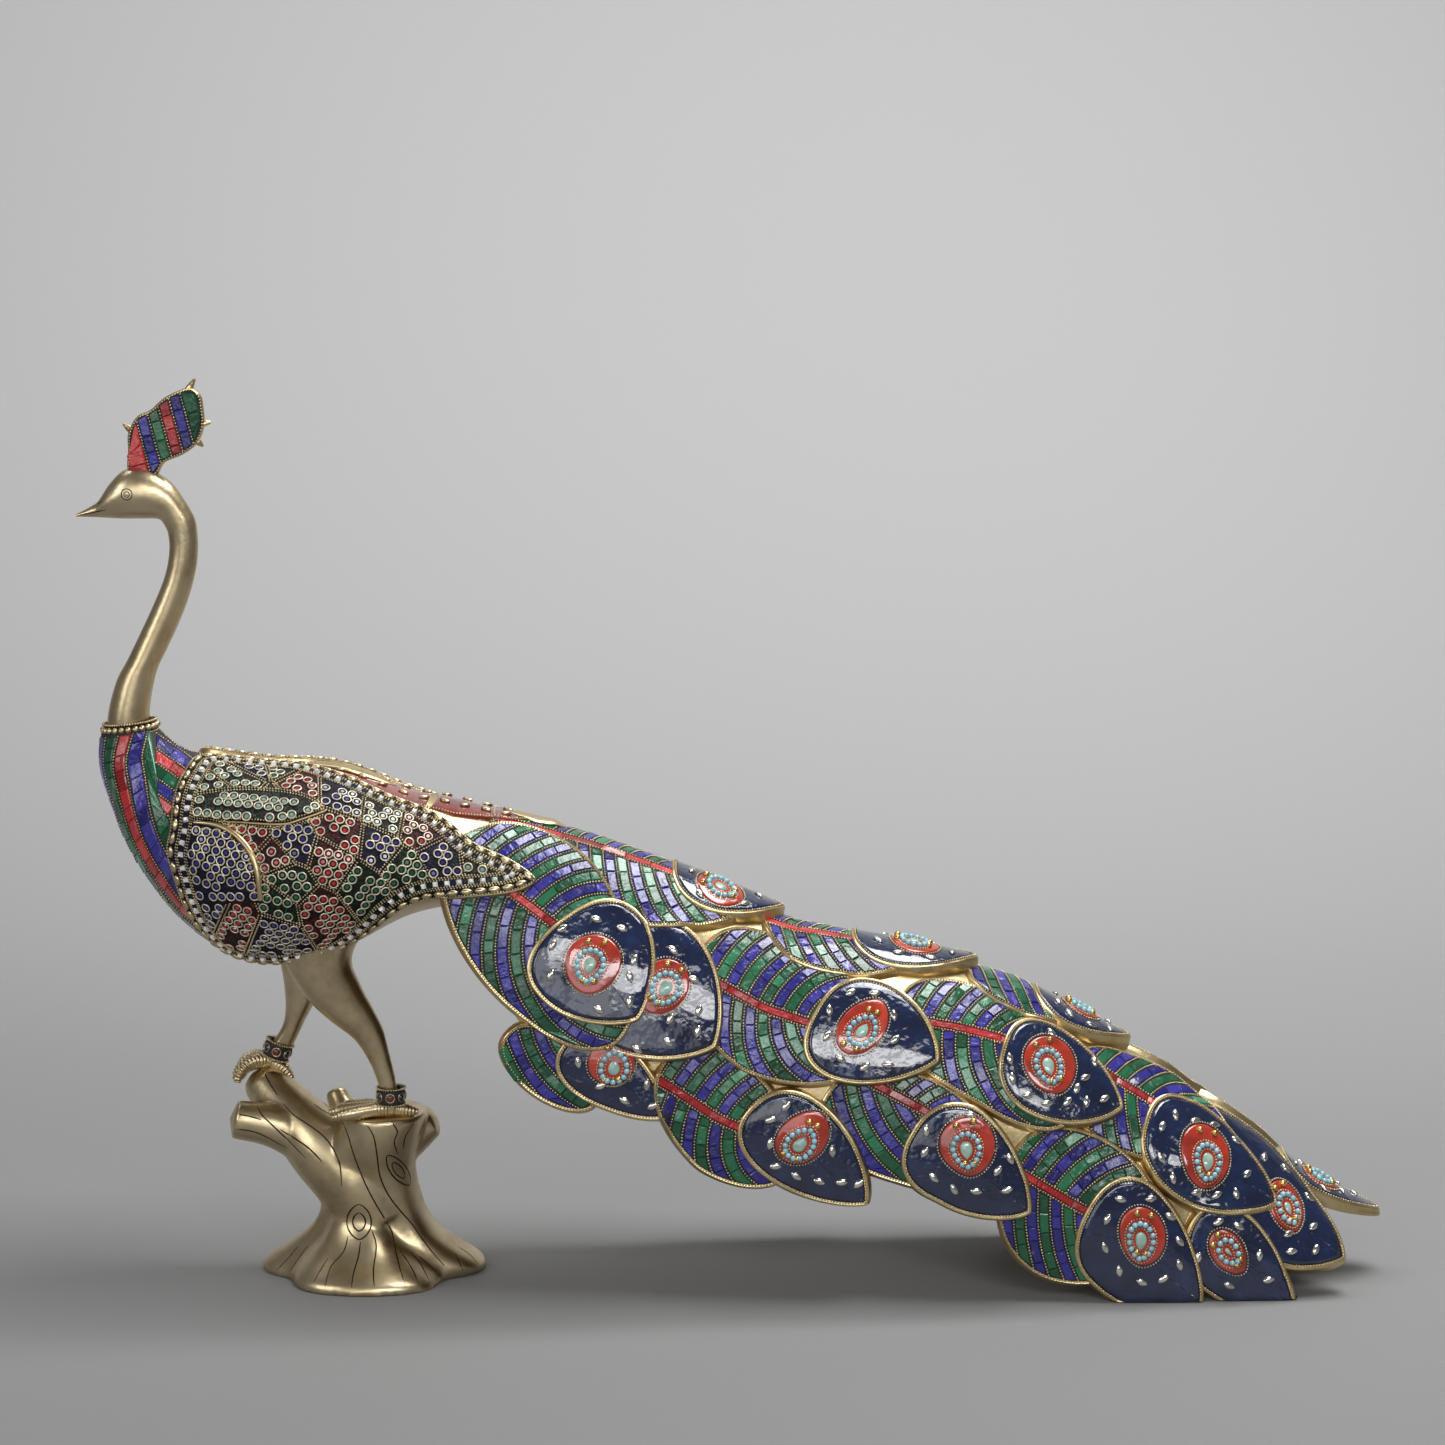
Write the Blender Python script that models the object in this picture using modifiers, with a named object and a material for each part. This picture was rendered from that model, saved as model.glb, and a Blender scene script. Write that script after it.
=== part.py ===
"""Peacock figurine of brass, standing on a tree stump with its long train reaching the floor.

Lengths are metres. +Z is up, the head looks along -X, the train trails along +X, and the origin
is the centre of the stump's underside. Both sides of the bird are alike, apart from its stride.
"""
import math

import bmesh
import bpy
import numpy as np
from mathutils import Matrix, Vector
from mathutils.bvhtree import BVHTree

COLLECTION = "Peacock_figurine"
STUMP_X = -0.326           # the stump's middle from the middle of the whole length
GAP = 0.0003               # between pieces that touch
FLATNESS = 0.8             # degrees within which neighbouring faces become one

# Stump
STUMP_HEIGHT = 0.149       # underside to the flat top that the near foot stands on
STUMP_HALF_LENGTH = 0.099  # of the root flare along X, at the floor
STUMP_HALF_WIDTH = 0.089   # of the root flare along Y, at the floor
ROOTS = 5
ROOT_DEPTH = 0.13          # how far the hollows between the roots cut in, as a share of the radius
SAWN_BRANCH_RADIUS = 0.0165
STUB_RADIUS = 0.0135

# Figure
BODY_HALF_WIDTH = 0.097
NECK_WIDTH_SHARE = 1.0     # the neck's width across Y over its width seen from the side
LEG_SPREAD = 0.036         # from the middle plane to a leg's axis
TOE_RADIUS = 0.0042
TOE_SINK = 0.0012          # how deep a toe beds into the bark
WING_LIFT = 0.0055         # wing's face above the body
SIDES = 20                 # of the body's sections

# Crest, collar and anklets
CREST_THICKNESS = 0.009
COLLAR_RADIUS = 0.0222
COLLAR_BEAD = 0.0031
COLLAR_WIRE = 0.0015
COLLAR_BEADS = 20
ANKLET_RADIUS = 0.0118
ANKLET_HEIGHT = 0.0160
ANKLET_STONE = 0.0042
ANKLET_STONES = 6

# Train
TRAIN_ROOT = (0.0565, 0.432)   # X and Z of the ridge at the train's root
TRAIN_SLOPE = math.radians(23.5)
TRAIN_LENGTH = 0.850           # of the shell, along the slope
TRAIN_HALF_WIDTH = 0.104
TRAIN_WALL = 0.007
TRAIN_FOOT = 0.0006            # the train is trimmed level this far above the floor
PLATE_BED = 0.003              # how deep a feather's plate is bedded in the sheet
TIP_THINNING = 0.12            # how fast plates thin from below once past the sheet's end
VANE_LIFTS = (0.0015, 0.0075)  # a vane's face above the sheet, at its root and at its tip
PANEL_LIFTS = (0.0070, 0.0120)
VANE_POINT = 0.3               # how pointed the leaves are
PANEL_POINT = 0.8
LEAF_POINTS = 14


# Scene helpers

def start_scene():
    """An empty scene with one collection for the solids and one for the cutters."""
    for found in list(bpy.data.objects):
        bpy.data.objects.remove(found, do_unlink=True)
    shown = bpy.data.collections.new(COLLECTION)
    bpy.context.scene.collection.children.link(shown)
    helpers = bpy.data.collections.new("Cutters")
    helpers.hide_render = True
    bpy.context.scene.collection.children.link(helpers)
    return shown, helpers


def finish(name, colour, roughness, metallic):
    """A plain material of one colour."""
    made = bpy.data.materials.new(name)
    made.use_nodes = True
    shader = made.node_tree.nodes["Principled BSDF"]
    shader.inputs["Base Color"].default_value = (*colour, 1.0)
    shader.inputs["Roughness"].default_value = roughness
    shader.inputs["Metallic"].default_value = metallic
    return made


def place(name, shape, collection, material=None):
    """An object made from a bmesh, shaded smooth except at sharp edges."""
    bmesh.ops.recalc_face_normals(shape, faces=shape.faces)
    mesh = bpy.data.meshes.new(name)
    shape.to_mesh(mesh)
    shape.free()
    made = bpy.data.objects.new(name, mesh)
    collection.objects.link(made)
    if material:
        mesh.materials.append(material)
    mesh.shade_smooth()
    mesh.set_sharp_from_angle(angle=math.radians(40))
    return made


def evaluated_copy(name, source, collection):
    """A plain mesh object with the modifiers of source applied; source is removed."""
    graph = bpy.context.evaluated_depsgraph_get()
    mesh = bpy.data.meshes.new_from_object(source.evaluated_get(graph))
    shape = bmesh.new()
    shape.from_mesh(mesh)
    bmesh.ops.transform(shape, matrix=source.matrix_world, verts=shape.verts)
    bmesh.ops.remove_doubles(shape, verts=shape.verts, dist=0.00002)
    bpy.data.objects.remove(source, do_unlink=True)
    return place(name, shape, collection)


def combine(target, others, operation):
    """Fuses others to target, or cuts them away. Cutters are kept, fused pieces are not."""
    others = list(others)
    if not others:
        return target
    joined = bmesh.new()
    for other in others:
        joined.from_mesh(other.data)
    tool = place("tool", joined, others[0].users_collection[0])
    step = target.modifiers.new("Join", "BOOLEAN")
    step.operation = operation
    step.object = tool
    step.solver = "EXACT"
    step.use_self = True
    graph = bpy.context.evaluated_depsgraph_get()
    mesh = bpy.data.meshes.new_from_object(target.evaluated_get(graph))
    target.modifiers.clear()
    target.data = mesh
    bpy.data.objects.remove(tool, do_unlink=True)
    if operation == "UNION":
        for other in others:
            bpy.data.objects.remove(other, do_unlink=True)
    return target


def part_folds(shape):
    """Where two folds of a skin share one edge, gives one of them an edge of its own."""
    for edge in [e for e in shape.edges if len(e.link_faces) == 4]:
        if len(edge.link_faces) != 4:
            continue
        start, end = (v.co for v in edge.verts)
        along_edge = (end - start).normalized()
        across = along_edge.orthogonal().normalized()
        up = along_edge.cross(across)
        around = []
        for face in edge.link_faces:
            tip = [v for v in face.verts if v not in edge.verts][0]
            away = tip.co - start
            around.append((math.atan2(away.dot(up), away.dot(across)), face, tip))
        around.sort(key=lambda entry: entry[0])
        fold = around[:2] if around[0][2] != around[1][2] else around[1:3]
        if len({tip for _, _, tip in around}) < 4:
            fold = [entry for entry in around
                    if sum(entry[2] == other[2] for other in around) == 2]
            for _, face, _ in fold:
                shape.faces.remove(face)
            continue
        apart = sum(((tip.co - (start + end) / 2).normalized() for _, _, tip in fold), Vector())
        middle = shape.verts.new((start + end) / 2 + apart * 0.00003)
        for _, face, _ in fold:
            corners = list(face.verts)
            for i in range(3):
                pair = {corners[i], corners[(i + 1) % 3]}
                if pair == set(edge.verts):
                    third = corners[(i + 2) % 3]
                    shape.faces.new((corners[i], middle, third))
                    shape.faces.new((middle, corners[(i + 1) % 3], third))
            shape.faces.remove(face)


def tidy_mesh(target, material, merge=0.00001):
    """Merges slivers that Booleans leave, keeps the largest body and gives the material."""
    shape = bmesh.new()
    shape.from_mesh(target.data)
    bmesh.ops.remove_doubles(shape, verts=shape.verts, dist=merge)
    left = set(shape.verts)
    largest = set()
    while left:
        body = {left.pop()}
        edge = list(body)
        while edge:
            for link in edge.pop().link_edges:
                for vert in link.verts:
                    if vert not in body:
                        body.add(vert)
                        edge.append(vert)
        left -= body
        if len(body) > len(largest):
            largest = body
    bmesh.ops.delete(shape, geom=[v for v in shape.verts if v not in largest], context="VERTS")
    bmesh.ops.dissolve_limit(shape, angle_limit=math.radians(FLATNESS), verts=shape.verts,
                             edges=shape.edges)
    bmesh.ops.triangulate(shape, faces=shape.faces)
    part_folds(shape)
    loose = [e for e in shape.edges if not e.link_faces]
    bmesh.ops.delete(shape, geom=loose, context="EDGES")
    shape.to_mesh(target.data)
    shape.free()
    target.data.materials.clear()
    target.data.materials.append(material)
    target.data.shade_smooth()
    target.data.set_sharp_from_angle(angle=math.radians(40))


def smooth_rows(rows, steps):
    """Rows of numbers passed through a Catmull-Rom curve, with steps new rows a span."""
    rows = np.array(rows, float)
    padded = np.vstack([2 * rows[0] - rows[1], rows, 2 * rows[-1] - rows[-2]])
    made = []
    for i in range(1, len(padded) - 2):
        before, start, end, after = padded[i - 1:i + 3]
        for k in range(steps):
            t = k / steps
            made.append(0.5 * (2 * start + (end - before) * t
                               + (2 * before - 5 * start + 4 * end - after) * t ** 2
                               + (3 * start - before - 3 * end + after) * t ** 3))
    made.append(rows[-1])
    return np.array(made)


def bridge_rings(shape, rings):
    """Joins rings of points, in order, into one closed skin."""
    loops = []
    for ring in rings:
        circle = bmesh.ops.create_circle(shape, segments=len(ring), radius=1.0)["verts"]
        for vert, point in zip(circle, ring):
            vert.co = point
        loops.append(circle)
    for near, far in zip(loops, loops[1:]):
        count = len(near)
        for i in range(count):
            shape.faces.new((near[i], near[(i + 1) % count], far[(i + 1) % count], far[i]))
    shape.faces.new(loops[0])
    shape.faces.new(loops[-1])


def loft(sections, sides, grow=0.0, offset_y=0.0):
    """A skin over ellipses that stand across the XZ plane.

    Each section is (x and z of its lower end, x and z of its upper end, half width along Y)."""
    shape = bmesh.new()
    rings = []
    for ax, az, bx, bz, half in sections:
        middle = Vector(((ax + bx) / 2, offset_y, (az + bz) / 2))
        rise = Vector(((bx - ax) / 2, 0, (bz - az) / 2))
        rise = rise.normalized() * (rise.length + grow)
        across = Vector((0, half + grow, 0))
        rings.append([middle + rise * math.cos(turn) + across * math.sin(turn)
                      for turn in np.linspace(0, 2 * math.pi, sides, endpoint=False)])
    bridge_rings(shape, rings)
    return shape


def tube(points, sides, grow=0.0):
    """A round skin along points of (x, y, z, radius), with flat ends."""
    points = np.array(points, float)
    centres = [Vector(p[:3]) for p in points]
    ends = [(centres[1] - centres[0]).normalized(), (centres[-1] - centres[-2]).normalized()]
    centres[0] = centres[0] - ends[0] * grow
    centres[-1] = centres[-1] + ends[1] * grow
    shape = bmesh.new()
    rings = []
    side = None
    for i, centre in enumerate(centres):
        ahead = centres[min(i + 1, len(centres) - 1)] - centres[max(i - 1, 0)]
        ahead.normalize()
        side = ahead.orthogonal() if side is None else side - ahead * side.dot(ahead)
        side.normalize()
        other = ahead.cross(side)
        radius = points[i][3] + grow
        rings.append([centre + (side * math.cos(t) + other * math.sin(t)) * radius
                      for t in np.linspace(0, 2 * math.pi, sides, endpoint=False)])
    bridge_rings(shape, rings)
    return shape


# Figure: body, neck, head, legs and feet

def body_sections():
    """Sections from the collar, down over the breast and back to the rump."""
    width = BODY_HALF_WIDTH
    return smooth_rows([
        (-0.2325, 0.486, -0.1875, 0.494, 0.24 * width),
        (-0.2335, 0.458, -0.1735, 0.478, 0.33 * width),
        (-0.2245, 0.425, -0.1575, 0.468, 0.45 * width),
        (-0.2105, 0.388, -0.1355, 0.465, 0.60 * width),
        (-0.1885, 0.352, -0.1135, 0.462, 0.74 * width),
        (-0.1615, 0.320, -0.0885, 0.458, 0.86 * width),
        (-0.1185, 0.290, -0.0535, 0.457, 0.96 * width),
        (-0.0735, 0.283, -0.0185, 0.454, width),
        (-0.0185, 0.297, 0.0315, 0.435, 0.92 * width),
        (0.0365, 0.325, 0.0815, 0.413, 0.74 * width),
        (0.0865, 0.335, 0.1215, 0.392, 0.55 * width),
        (0.1365, 0.338, 0.1565, 0.366, 0.30 * width),
    ], 2)


def neck_sections():
    """Sections up the neck, over the head and along the beak."""
    share = NECK_WIDTH_SHARE
    return smooth_rows([
        (-0.2230, 0.468, -0.1870, 0.472, 0.0180 * share),
        (-0.2275, 0.496, -0.1905, 0.501, 0.0187 * share),
        (-0.2195, 0.530, -0.1840, 0.538, 0.0162 * share),
        (-0.2080, 0.552, -0.1730, 0.562, 0.0140 * share),
        (-0.1965, 0.575, -0.1620, 0.585, 0.0130 * share),
        (-0.1845, 0.600, -0.1530, 0.608, 0.0124 * share),
        (-0.1745, 0.624, -0.1470, 0.630, 0.0119 * share),
        (-0.1700, 0.645, -0.1448, 0.647, 0.0116 * share),
        (-0.1705, 0.661, -0.1448, 0.661, 0.0117 * share),
        (-0.1740, 0.670, -0.1470, 0.675, 0.0120 * share),
        (-0.1775, 0.674, -0.1555, 0.691, 0.0126 * share),
        (-0.1820, 0.675, -0.1665, 0.706, 0.0140 * share),
        (-0.1880, 0.675, -0.1810, 0.716, 0.0155 * share),
        (-0.1970, 0.675, -0.1955, 0.7195, 0.0165 * share),
        (-0.2090, 0.675, -0.2090, 0.7165, 0.0158 * share),
        (-0.2200, 0.6755, -0.2205, 0.7055, 0.0125 * share),
        (-0.2290, 0.6760, -0.2300, 0.6915, 0.0080 * share),
        (-0.2325, 0.6762, -0.2345, 0.6875, 0.0062 * share),
        (-0.2420, 0.6765, -0.2430, 0.6825, 0.0035 * share),
        (-0.2505, 0.6766, -0.2508, 0.6785, 0.0012 * share),
    ], 1)


def leg_sections():
    """Sections down each leg: the near one strides back and the far one forward."""
    top = STUMP_HEIGHT
    near = [(-0.075, 0.320, 0.003, 0.325, 0.030),
            (-0.070, 0.285, -0.012, 0.292, 0.026),
            (-0.052, 0.255, -0.005, 0.268, 0.0215),
            (-0.032, 0.235, 0.006, 0.246, 0.0165),
            (-0.012, top + 0.070, 0.0145, top + 0.079, 0.0125),
            (0.0005, top + 0.051, 0.0200, top + 0.0565, 0.0092),
            (0.0085, top + 0.031, 0.0250, top + 0.0345, 0.0080),
            (0.0120, top + 0.012, 0.0285, top + 0.012, 0.0078),
            (0.0100, top + 0.001, 0.0310, top + 0.001, 0.0085)]
    far = [(-0.090, 0.325, -0.032, 0.325, 0.027),
           (-0.0850, 0.280, -0.0400, 0.285, 0.022),
           (-0.0812, top + 0.107, -0.0470, top + 0.107, 0.0175),
           (-0.0798, top + 0.083, -0.0530, top + 0.087, 0.0135),
           (-0.0825, top + 0.066, -0.0630, top + 0.068, 0.0100),
           (-0.0905, top + 0.053, -0.0730, top + 0.047, 0.0085),
           (-0.0985, top + 0.045, -0.0815, top + 0.035, 0.0080),
           (-0.1060, top + 0.040, -0.0865, top + 0.030, 0.0085)]
    return smooth_rows(near, 1), smooth_rows(far, 1)


def toe_paths():
    """Points of (x, y, z, radius) along each toe, from the ankle to the claw."""
    r = TOE_RADIUS
    y = LEG_SPREAD
    sole = STUMP_HEIGHT + r - TOE_SINK
    paths = []
    for reach, aside in ((-0.050, -0.018), (-0.054, 0.001), (-0.048, 0.017)):
        paths.append([(0.0200, -y, sole + 0.002, 1.3 * r),
                      (0.0200 + 0.3 * reach, -y + 0.35 * aside, sole + 0.002, 1.1 * r),
                      (0.0200 + 0.75 * reach, -y + 0.85 * aside, sole, r),
                      (0.0200 + reach, -y + aside, sole - 0.002, 0.45 * r)])
    paths.append([(0.0200, -y, sole + 0.002, 1.2 * r),
                  (0.0340, -y, sole, r),
                  (0.0440, -y, sole - 0.001, 0.45 * r)])
    high = STUMP_HEIGHT + 0.029
    for aside in (-0.0135, 0.0005, 0.0130):
        paths.append([(-0.0970, y, high + 0.003, 1.3 * r),
                      (-0.1080, y + 0.6 * aside, high + 0.003, 1.1 * r),
                      (-0.1165, y + aside, high - 0.001, r),
                      (-0.1212, y + 1.1 * aside, high - 0.008, 0.9 * r),
                      (-0.1222, y + 1.1 * aside, high - 0.014, 0.45 * r)])
    paths.append([(-0.0970, y, high + 0.003, 1.2 * r),
                  (-0.0830, y, high - 0.005, r),
                  (-0.0750, y, high - 0.015, 0.5 * r)])
    return paths


def figure_parts(grow, helpers):
    """Body, neck, legs and toes as separate skins, all larger by grow."""
    made = [place("body_skin", loft(body_sections(), SIDES, grow), helpers),
            place("neck_skin", loft(neck_sections(), 12, grow), helpers)]
    for side, sections in zip((-1, 1), leg_sections()):
        made.append(place("leg_skin", loft(sections, 10, grow, side * LEG_SPREAD), helpers))
    for path in toe_paths():
        made.append(place("toe_skin", tube(path, 8, grow), helpers))
    return made


# Train: an arched sheet carries overlapping feathers; each has a striped vane and an eye panel

RIDGE_RISE = [(0.00, 0.000), (0.15, 0.018), (0.25, 0.022), (0.34, 0.019), (0.42, 0.033),
              (0.50, 0.046), (0.54, 0.049), (0.60, 0.041), (0.65, 0.035), (0.70, 0.031),
              (0.75, 0.018), (0.80, 0.006), (0.85, -0.012), (1.00, -0.030)]
SIDE_HEIGHT = [(0.00, 0.100), (0.10, 0.150), (0.18, 0.185), (0.30, 0.195), (0.42, 0.200),
               (0.54, 0.180), (0.66, 0.168), (0.76, 0.140), (0.85, 0.085), (1.00, 0.060)]
SPREAD = [(0.00, 0.82), (0.15, 0.93), (0.35, 1.00), (0.60, 1.00), (0.80, 0.90), (1.00, 0.72)]
SHEET_REACH = [(0.00, 0.085), (0.05, 0.112), (0.09, 0.148), (0.13, 0.176), (0.20, 0.222),
               (0.28, 0.222), (0.36, 0.240), (0.42, 0.245), (0.50, 0.210), (0.58, 0.215),
               (0.66, 0.235), (0.78, 0.190), (0.85, 0.110)]

# Middle of each leaf along the train and down its side from the ridge, half length, half width
# and turn in degrees, downwards positive. Those on the ridge are single, the others in pairs.
VANES = [
    (0.175, 0.000, 0.122, 0.074, 0), (0.138, 0.115, 0.117, 0.067, 38),
    (0.189, 0.226, 0.050, 0.027, 20), (0.385, 0.000, 0.078, 0.062, 0),
    (0.361, 0.112, 0.083, 0.049, 22), (0.346, 0.210, 0.076, 0.046, 30),
    (0.550, 0.000, 0.056, 0.050, 0), (0.539, 0.098, 0.086, 0.038, 20),
    (0.499, 0.180, 0.084, 0.048, 8), (0.686, 0.064, 0.080, 0.050, -8),
    (0.660, 0.176, 0.074, 0.066, -12),
]
PANELS = [
    (0.273, 0.000, 0.054, 0.048, 0), (0.200, 0.132, 0.066, 0.062, 25),
    (0.253, 0.135, 0.062, 0.062, 18), (0.244, 0.213, 0.056, 0.030, 12),
    (0.447, 0.000, 0.057, 0.042, 0), (0.438, 0.108, 0.059, 0.048, 9),
    (0.424, 0.220, 0.070, 0.038, 26), (0.606, 0.000, 0.050, 0.036, 0),
    (0.602, 0.084, 0.060, 0.043, -2), (0.558, 0.190, 0.062, 0.044, 8),
    (0.752, 0.080, 0.068, 0.044, -2), (0.728, 0.180, 0.064, 0.052, 4),
    (0.812, 0.138, 0.058, 0.038, 0), (0.806, 0.074, 0.090, 0.056, 6),
    (0.872, 0.000, 0.054, 0.034, 0),
]


def along(table, a):
    """Reads a table of (distance along the train, value)."""
    keys, values = zip(*table)
    return float(np.interp(a, keys, values))


def train_section(a):
    """Points down one side of the train's section, and their distance from the ridge."""
    turn = np.linspace(0, math.pi / 2, 33)
    out = TRAIN_HALF_WIDTH * along(SPREAD, a) * np.sin(turn)
    down = along(SIDE_HEIGHT, a) * (1 - np.cos(turn))
    steps = np.hypot(np.diff(out), np.diff(down))
    return out, down, np.concatenate([[0], np.cumsum(steps)])


def train_point(a, b, lift=0.0):
    """The point a along the train and b down its side from the ridge, lift above the sheet."""
    side = -1 if b < 0 else 1
    out, down, reach = train_section(a)
    b = abs(b)
    step = 0.002
    y = float(np.interp(b, reach, out))
    fall = float(np.interp(b, reach, down)) + max(0.0, b - reach[-1])
    next_y = float(np.interp(b + step, reach, out))
    next_fall = float(np.interp(b + step, reach, down)) + max(0.0, b + step - reach[-1])
    slant = math.atan2(next_fall - fall, next_y - y)
    y += lift * math.sin(slant)
    height = along(RIDGE_RISE, a) - fall + lift * math.cos(slant)
    cos, sin = math.cos(TRAIN_SLOPE), math.sin(TRAIN_SLOPE)
    return Vector((TRAIN_ROOT[0] + a * cos + height * sin, side * y,
                   TRAIN_ROOT[1] - a * sin + height * cos))


def train_sheet(helpers):
    """The arched sheet, open below."""
    shape = bmesh.new()
    bmesh.ops.create_grid(shape, x_segments=20, y_segments=12, size=0.5)
    for vert in shape.verts:
        a = (vert.co.x + 0.5) * TRAIN_LENGTH
        b = along(SHEET_REACH, a) * 2 * vert.co.y
        vert.co = train_point(a, b)
    sheet = place("train_grid", shape, helpers)
    wall = sheet.modifiers.new("Wall", "SOLIDIFY")
    wall.thickness = TRAIN_WALL
    wall.offset = -1.0
    return evaluated_copy("train_sheet", sheet, helpers)


def leaf(row, point, count):
    """Points around a leaf as (along, down, share of the way to the tip)."""
    middle_a, middle_b, half_length, half_width, turn = row
    angles = np.linspace(0, 2 * math.pi, count, endpoint=False)
    long = np.cos(angles)
    wide = np.sin(angles) * np.abs(np.sin(angles / 2)) ** point
    wide /= np.abs(wide).max()
    cos, sin = math.cos(math.radians(turn)), math.sin(math.radians(turn))
    return [(middle_a + half_length * u * cos - half_width * v * sin,
             middle_b + half_length * u * sin + half_width * v * cos, (u + 1) / 2)
            for u, v in zip(long, wide)]


def feather_plate(row, point, root_lift, tip_lift, side, order):
    """A leaf-shaped plate that follows the train, low at its root and raised at its tip.

    Each plate is bedded a little deeper than the one before, so that no two share a face."""
    edge = leaf(row, point, LEAF_POINTS)
    heart = (row[0], row[1], 0.5)
    shape = bmesh.new()
    levels = []
    for over in (True, False):
        rings = []
        for share in (1.0, 0.55, 0.0):
            ring = []
            for spot in edge:
                a, b, rise = (h + (e - h) * share for h, e in zip(heart, spot))
                b *= side
                lift = root_lift + (tip_lift - root_lift) * rise
                base = max(0.0, a - TRAIN_LENGTH) * TIP_THINNING - PLATE_BED - 0.00007 * order
                ring.append(train_point(a, b, lift if over else base))
                if share == 0.0:
                    break
            rings.append([shape.verts.new(p) for p in ring])
        levels.append(rings)
    for outer, inner, centre in levels:
        for i in range(LEAF_POINTS):
            k = (i + 1) % LEAF_POINTS
            shape.faces.new((outer[i], outer[k], inner[k], inner[i]))
            shape.faces.new((inner[i], inner[k], centre[0]))
    top, base = levels[0][0], levels[1][0]
    for i in range(LEAF_POINTS):
        k = (i + 1) % LEAF_POINTS
        shape.faces.new((top[i], top[k], base[k], base[i]))
    return shape


def train_parts(helpers):
    """The sheet, then the plates of every feather."""
    made = [train_sheet(helpers)]
    for rows, point, lifts in ((VANES, VANE_POINT, VANE_LIFTS), (PANELS, PANEL_POINT, PANEL_LIFTS)):
        for row in rows:
            for side in ((1,) if row[1] == 0.0 else (-1, 1)):
                plate = feather_plate(row, point, lifts[0], lifts[1], side, len(made))
                made.append(place("feather", plate, helpers))
    return made


# Wings: raised plates that lie on the body and run out over the train's root

# Each point: X, and the angle about the body's middle line, from level outwards, up positive.
WING_OUTLINE = [(-0.169, 0), (-0.165, 18), (-0.163, 38), (-0.156, 58), (-0.143, 79), (-0.104, 85),
                (-0.061, 84), (-0.025, 75), (0.022, 67), (0.048, 65), (0.075, 57), (0.098, 45),
                (0.130, 39), (0.152, 29), (0.131, 17), (0.085, 7), (0.056, 0), (0.031, -14),
                (0.001, -40), (-0.031, -56), (-0.065, -62), (-0.106, -68), (-0.126, -67),
                (-0.141, -58), (-0.155, -41), (-0.164, -18)]
WING_HEART = (-0.045, 12)


def middle_height(x):
    """Height of the body's middle line, which runs on inside the train."""
    return float(np.interp(x, (-0.17, -0.05, 0.15), (0.394, 0.372, 0.330)))


def out_from_middle(tree, x, turn):
    """How far a surface lies from the middle line at x, towards turn."""
    towards = Vector((0, math.cos(turn), math.sin(turn)))
    middle = Vector((x, 0, middle_height(x)))
    hit = tree.ray_cast(middle + towards * 0.4, -towards)[0]
    return 0.0 if hit is None else (hit - middle).length


def wing_bed(trees):
    """An even surface over body and train root: its distance from the middle line."""
    xs = np.linspace(-0.19, 0.17, 37)
    turns = np.linspace(-90, 100, 39)
    out = np.array([[max(out_from_middle(tree, x, math.radians(turn)) for tree in trees)
                     for turn in turns] for x in xs])
    for _ in range(3):
        for axis in (0, 1):
            pad = ((1, 1), (0, 0)) if axis == 0 else ((0, 0), (1, 1))
            wide = np.pad(out, pad, mode="edge")
            before, after = (wide[:-2], wide[2:]) if axis == 0 else (wide[:, :-2], wide[:, 2:])
            out = np.maximum(0.5 * out + 0.25 * (before + after), out - 0.002)
    return xs, turns, out


def wing_shape(bed, side, grow):
    """A plate over WING_OUTLINE: its face stands proud of what it lies on."""
    xs, turns, out = bed
    count = len(WING_OUTLINE)
    shape = bmesh.new()
    levels = []
    for over in (True, False):
        rings = []
        for share in (1.0, 0.94, 0.62, 0.3, 0.0):
            ring = []
            for point in WING_OUTLINE:
                reach = share if share < 1.0 else 1.0 + grow / 0.03
                x, turn = (h + (p - h) * reach for h, p in zip(WING_HEART, point))
                row = [np.interp(turn, turns, line) for line in out]
                far = float(np.interp(x, xs, row))
                if over:
                    far += WING_LIFT + grow - (0.0020 if share == 1.0 else 0.0)
                else:
                    far -= float(np.interp(x, (0.02, 0.06), (0.0115, 0.0010))) + grow
                turn = math.radians(turn)
                ring.append(shape.verts.new((x, side * far * math.cos(turn),
                                             middle_height(x) + far * math.sin(turn))))
                if share == 0.0:
                    break
            rings.append(ring)
        levels.append(rings)
    for rings in levels:
        for outer, inner in zip(rings[:-1], rings[1:-1]):
            for i in range(count):
                k = (i + 1) % count
                shape.faces.new((outer[i], outer[k], inner[k], inner[i]))
        for i in range(count):
            shape.faces.new((rings[-2][i], rings[-2][(i + 1) % count], rings[-1][0]))
    front, back = levels[0][0], levels[1][0]
    for i in range(count):
        k = (i + 1) % count
        shape.faces.new((front[i], front[k], back[k], back[i]))
    return shape


# Stump

# Height, shift along X and Y, and half length and half width as shares of those at the floor.
TRUNK_RINGS = [(0.000, 0.000, 0.000, 1.00, 1.00), (0.007, 0.000, 0.000, 0.99, 0.98),
               (0.015, 0.000, 0.000, 0.90, 0.88), (0.026, 0.000, 0.000, 0.74, 0.72),
               (0.038, 0.000, 0.000, 0.58, 0.60), (0.052, 0.000, -0.001, 0.49, 0.50),
               (0.068, -0.002, -0.003, 0.455, 0.46), (0.084, -0.004, -0.005, 0.44, 0.44),
               (0.104, -0.004, -0.008, 0.43, 0.45), (0.126, 0.004, -0.011, 0.41, 0.49),
               (0.143, 0.010, -0.012, 0.40, 0.50), (1.000, 0.010, -0.012, 0.385, 0.485)]


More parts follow.
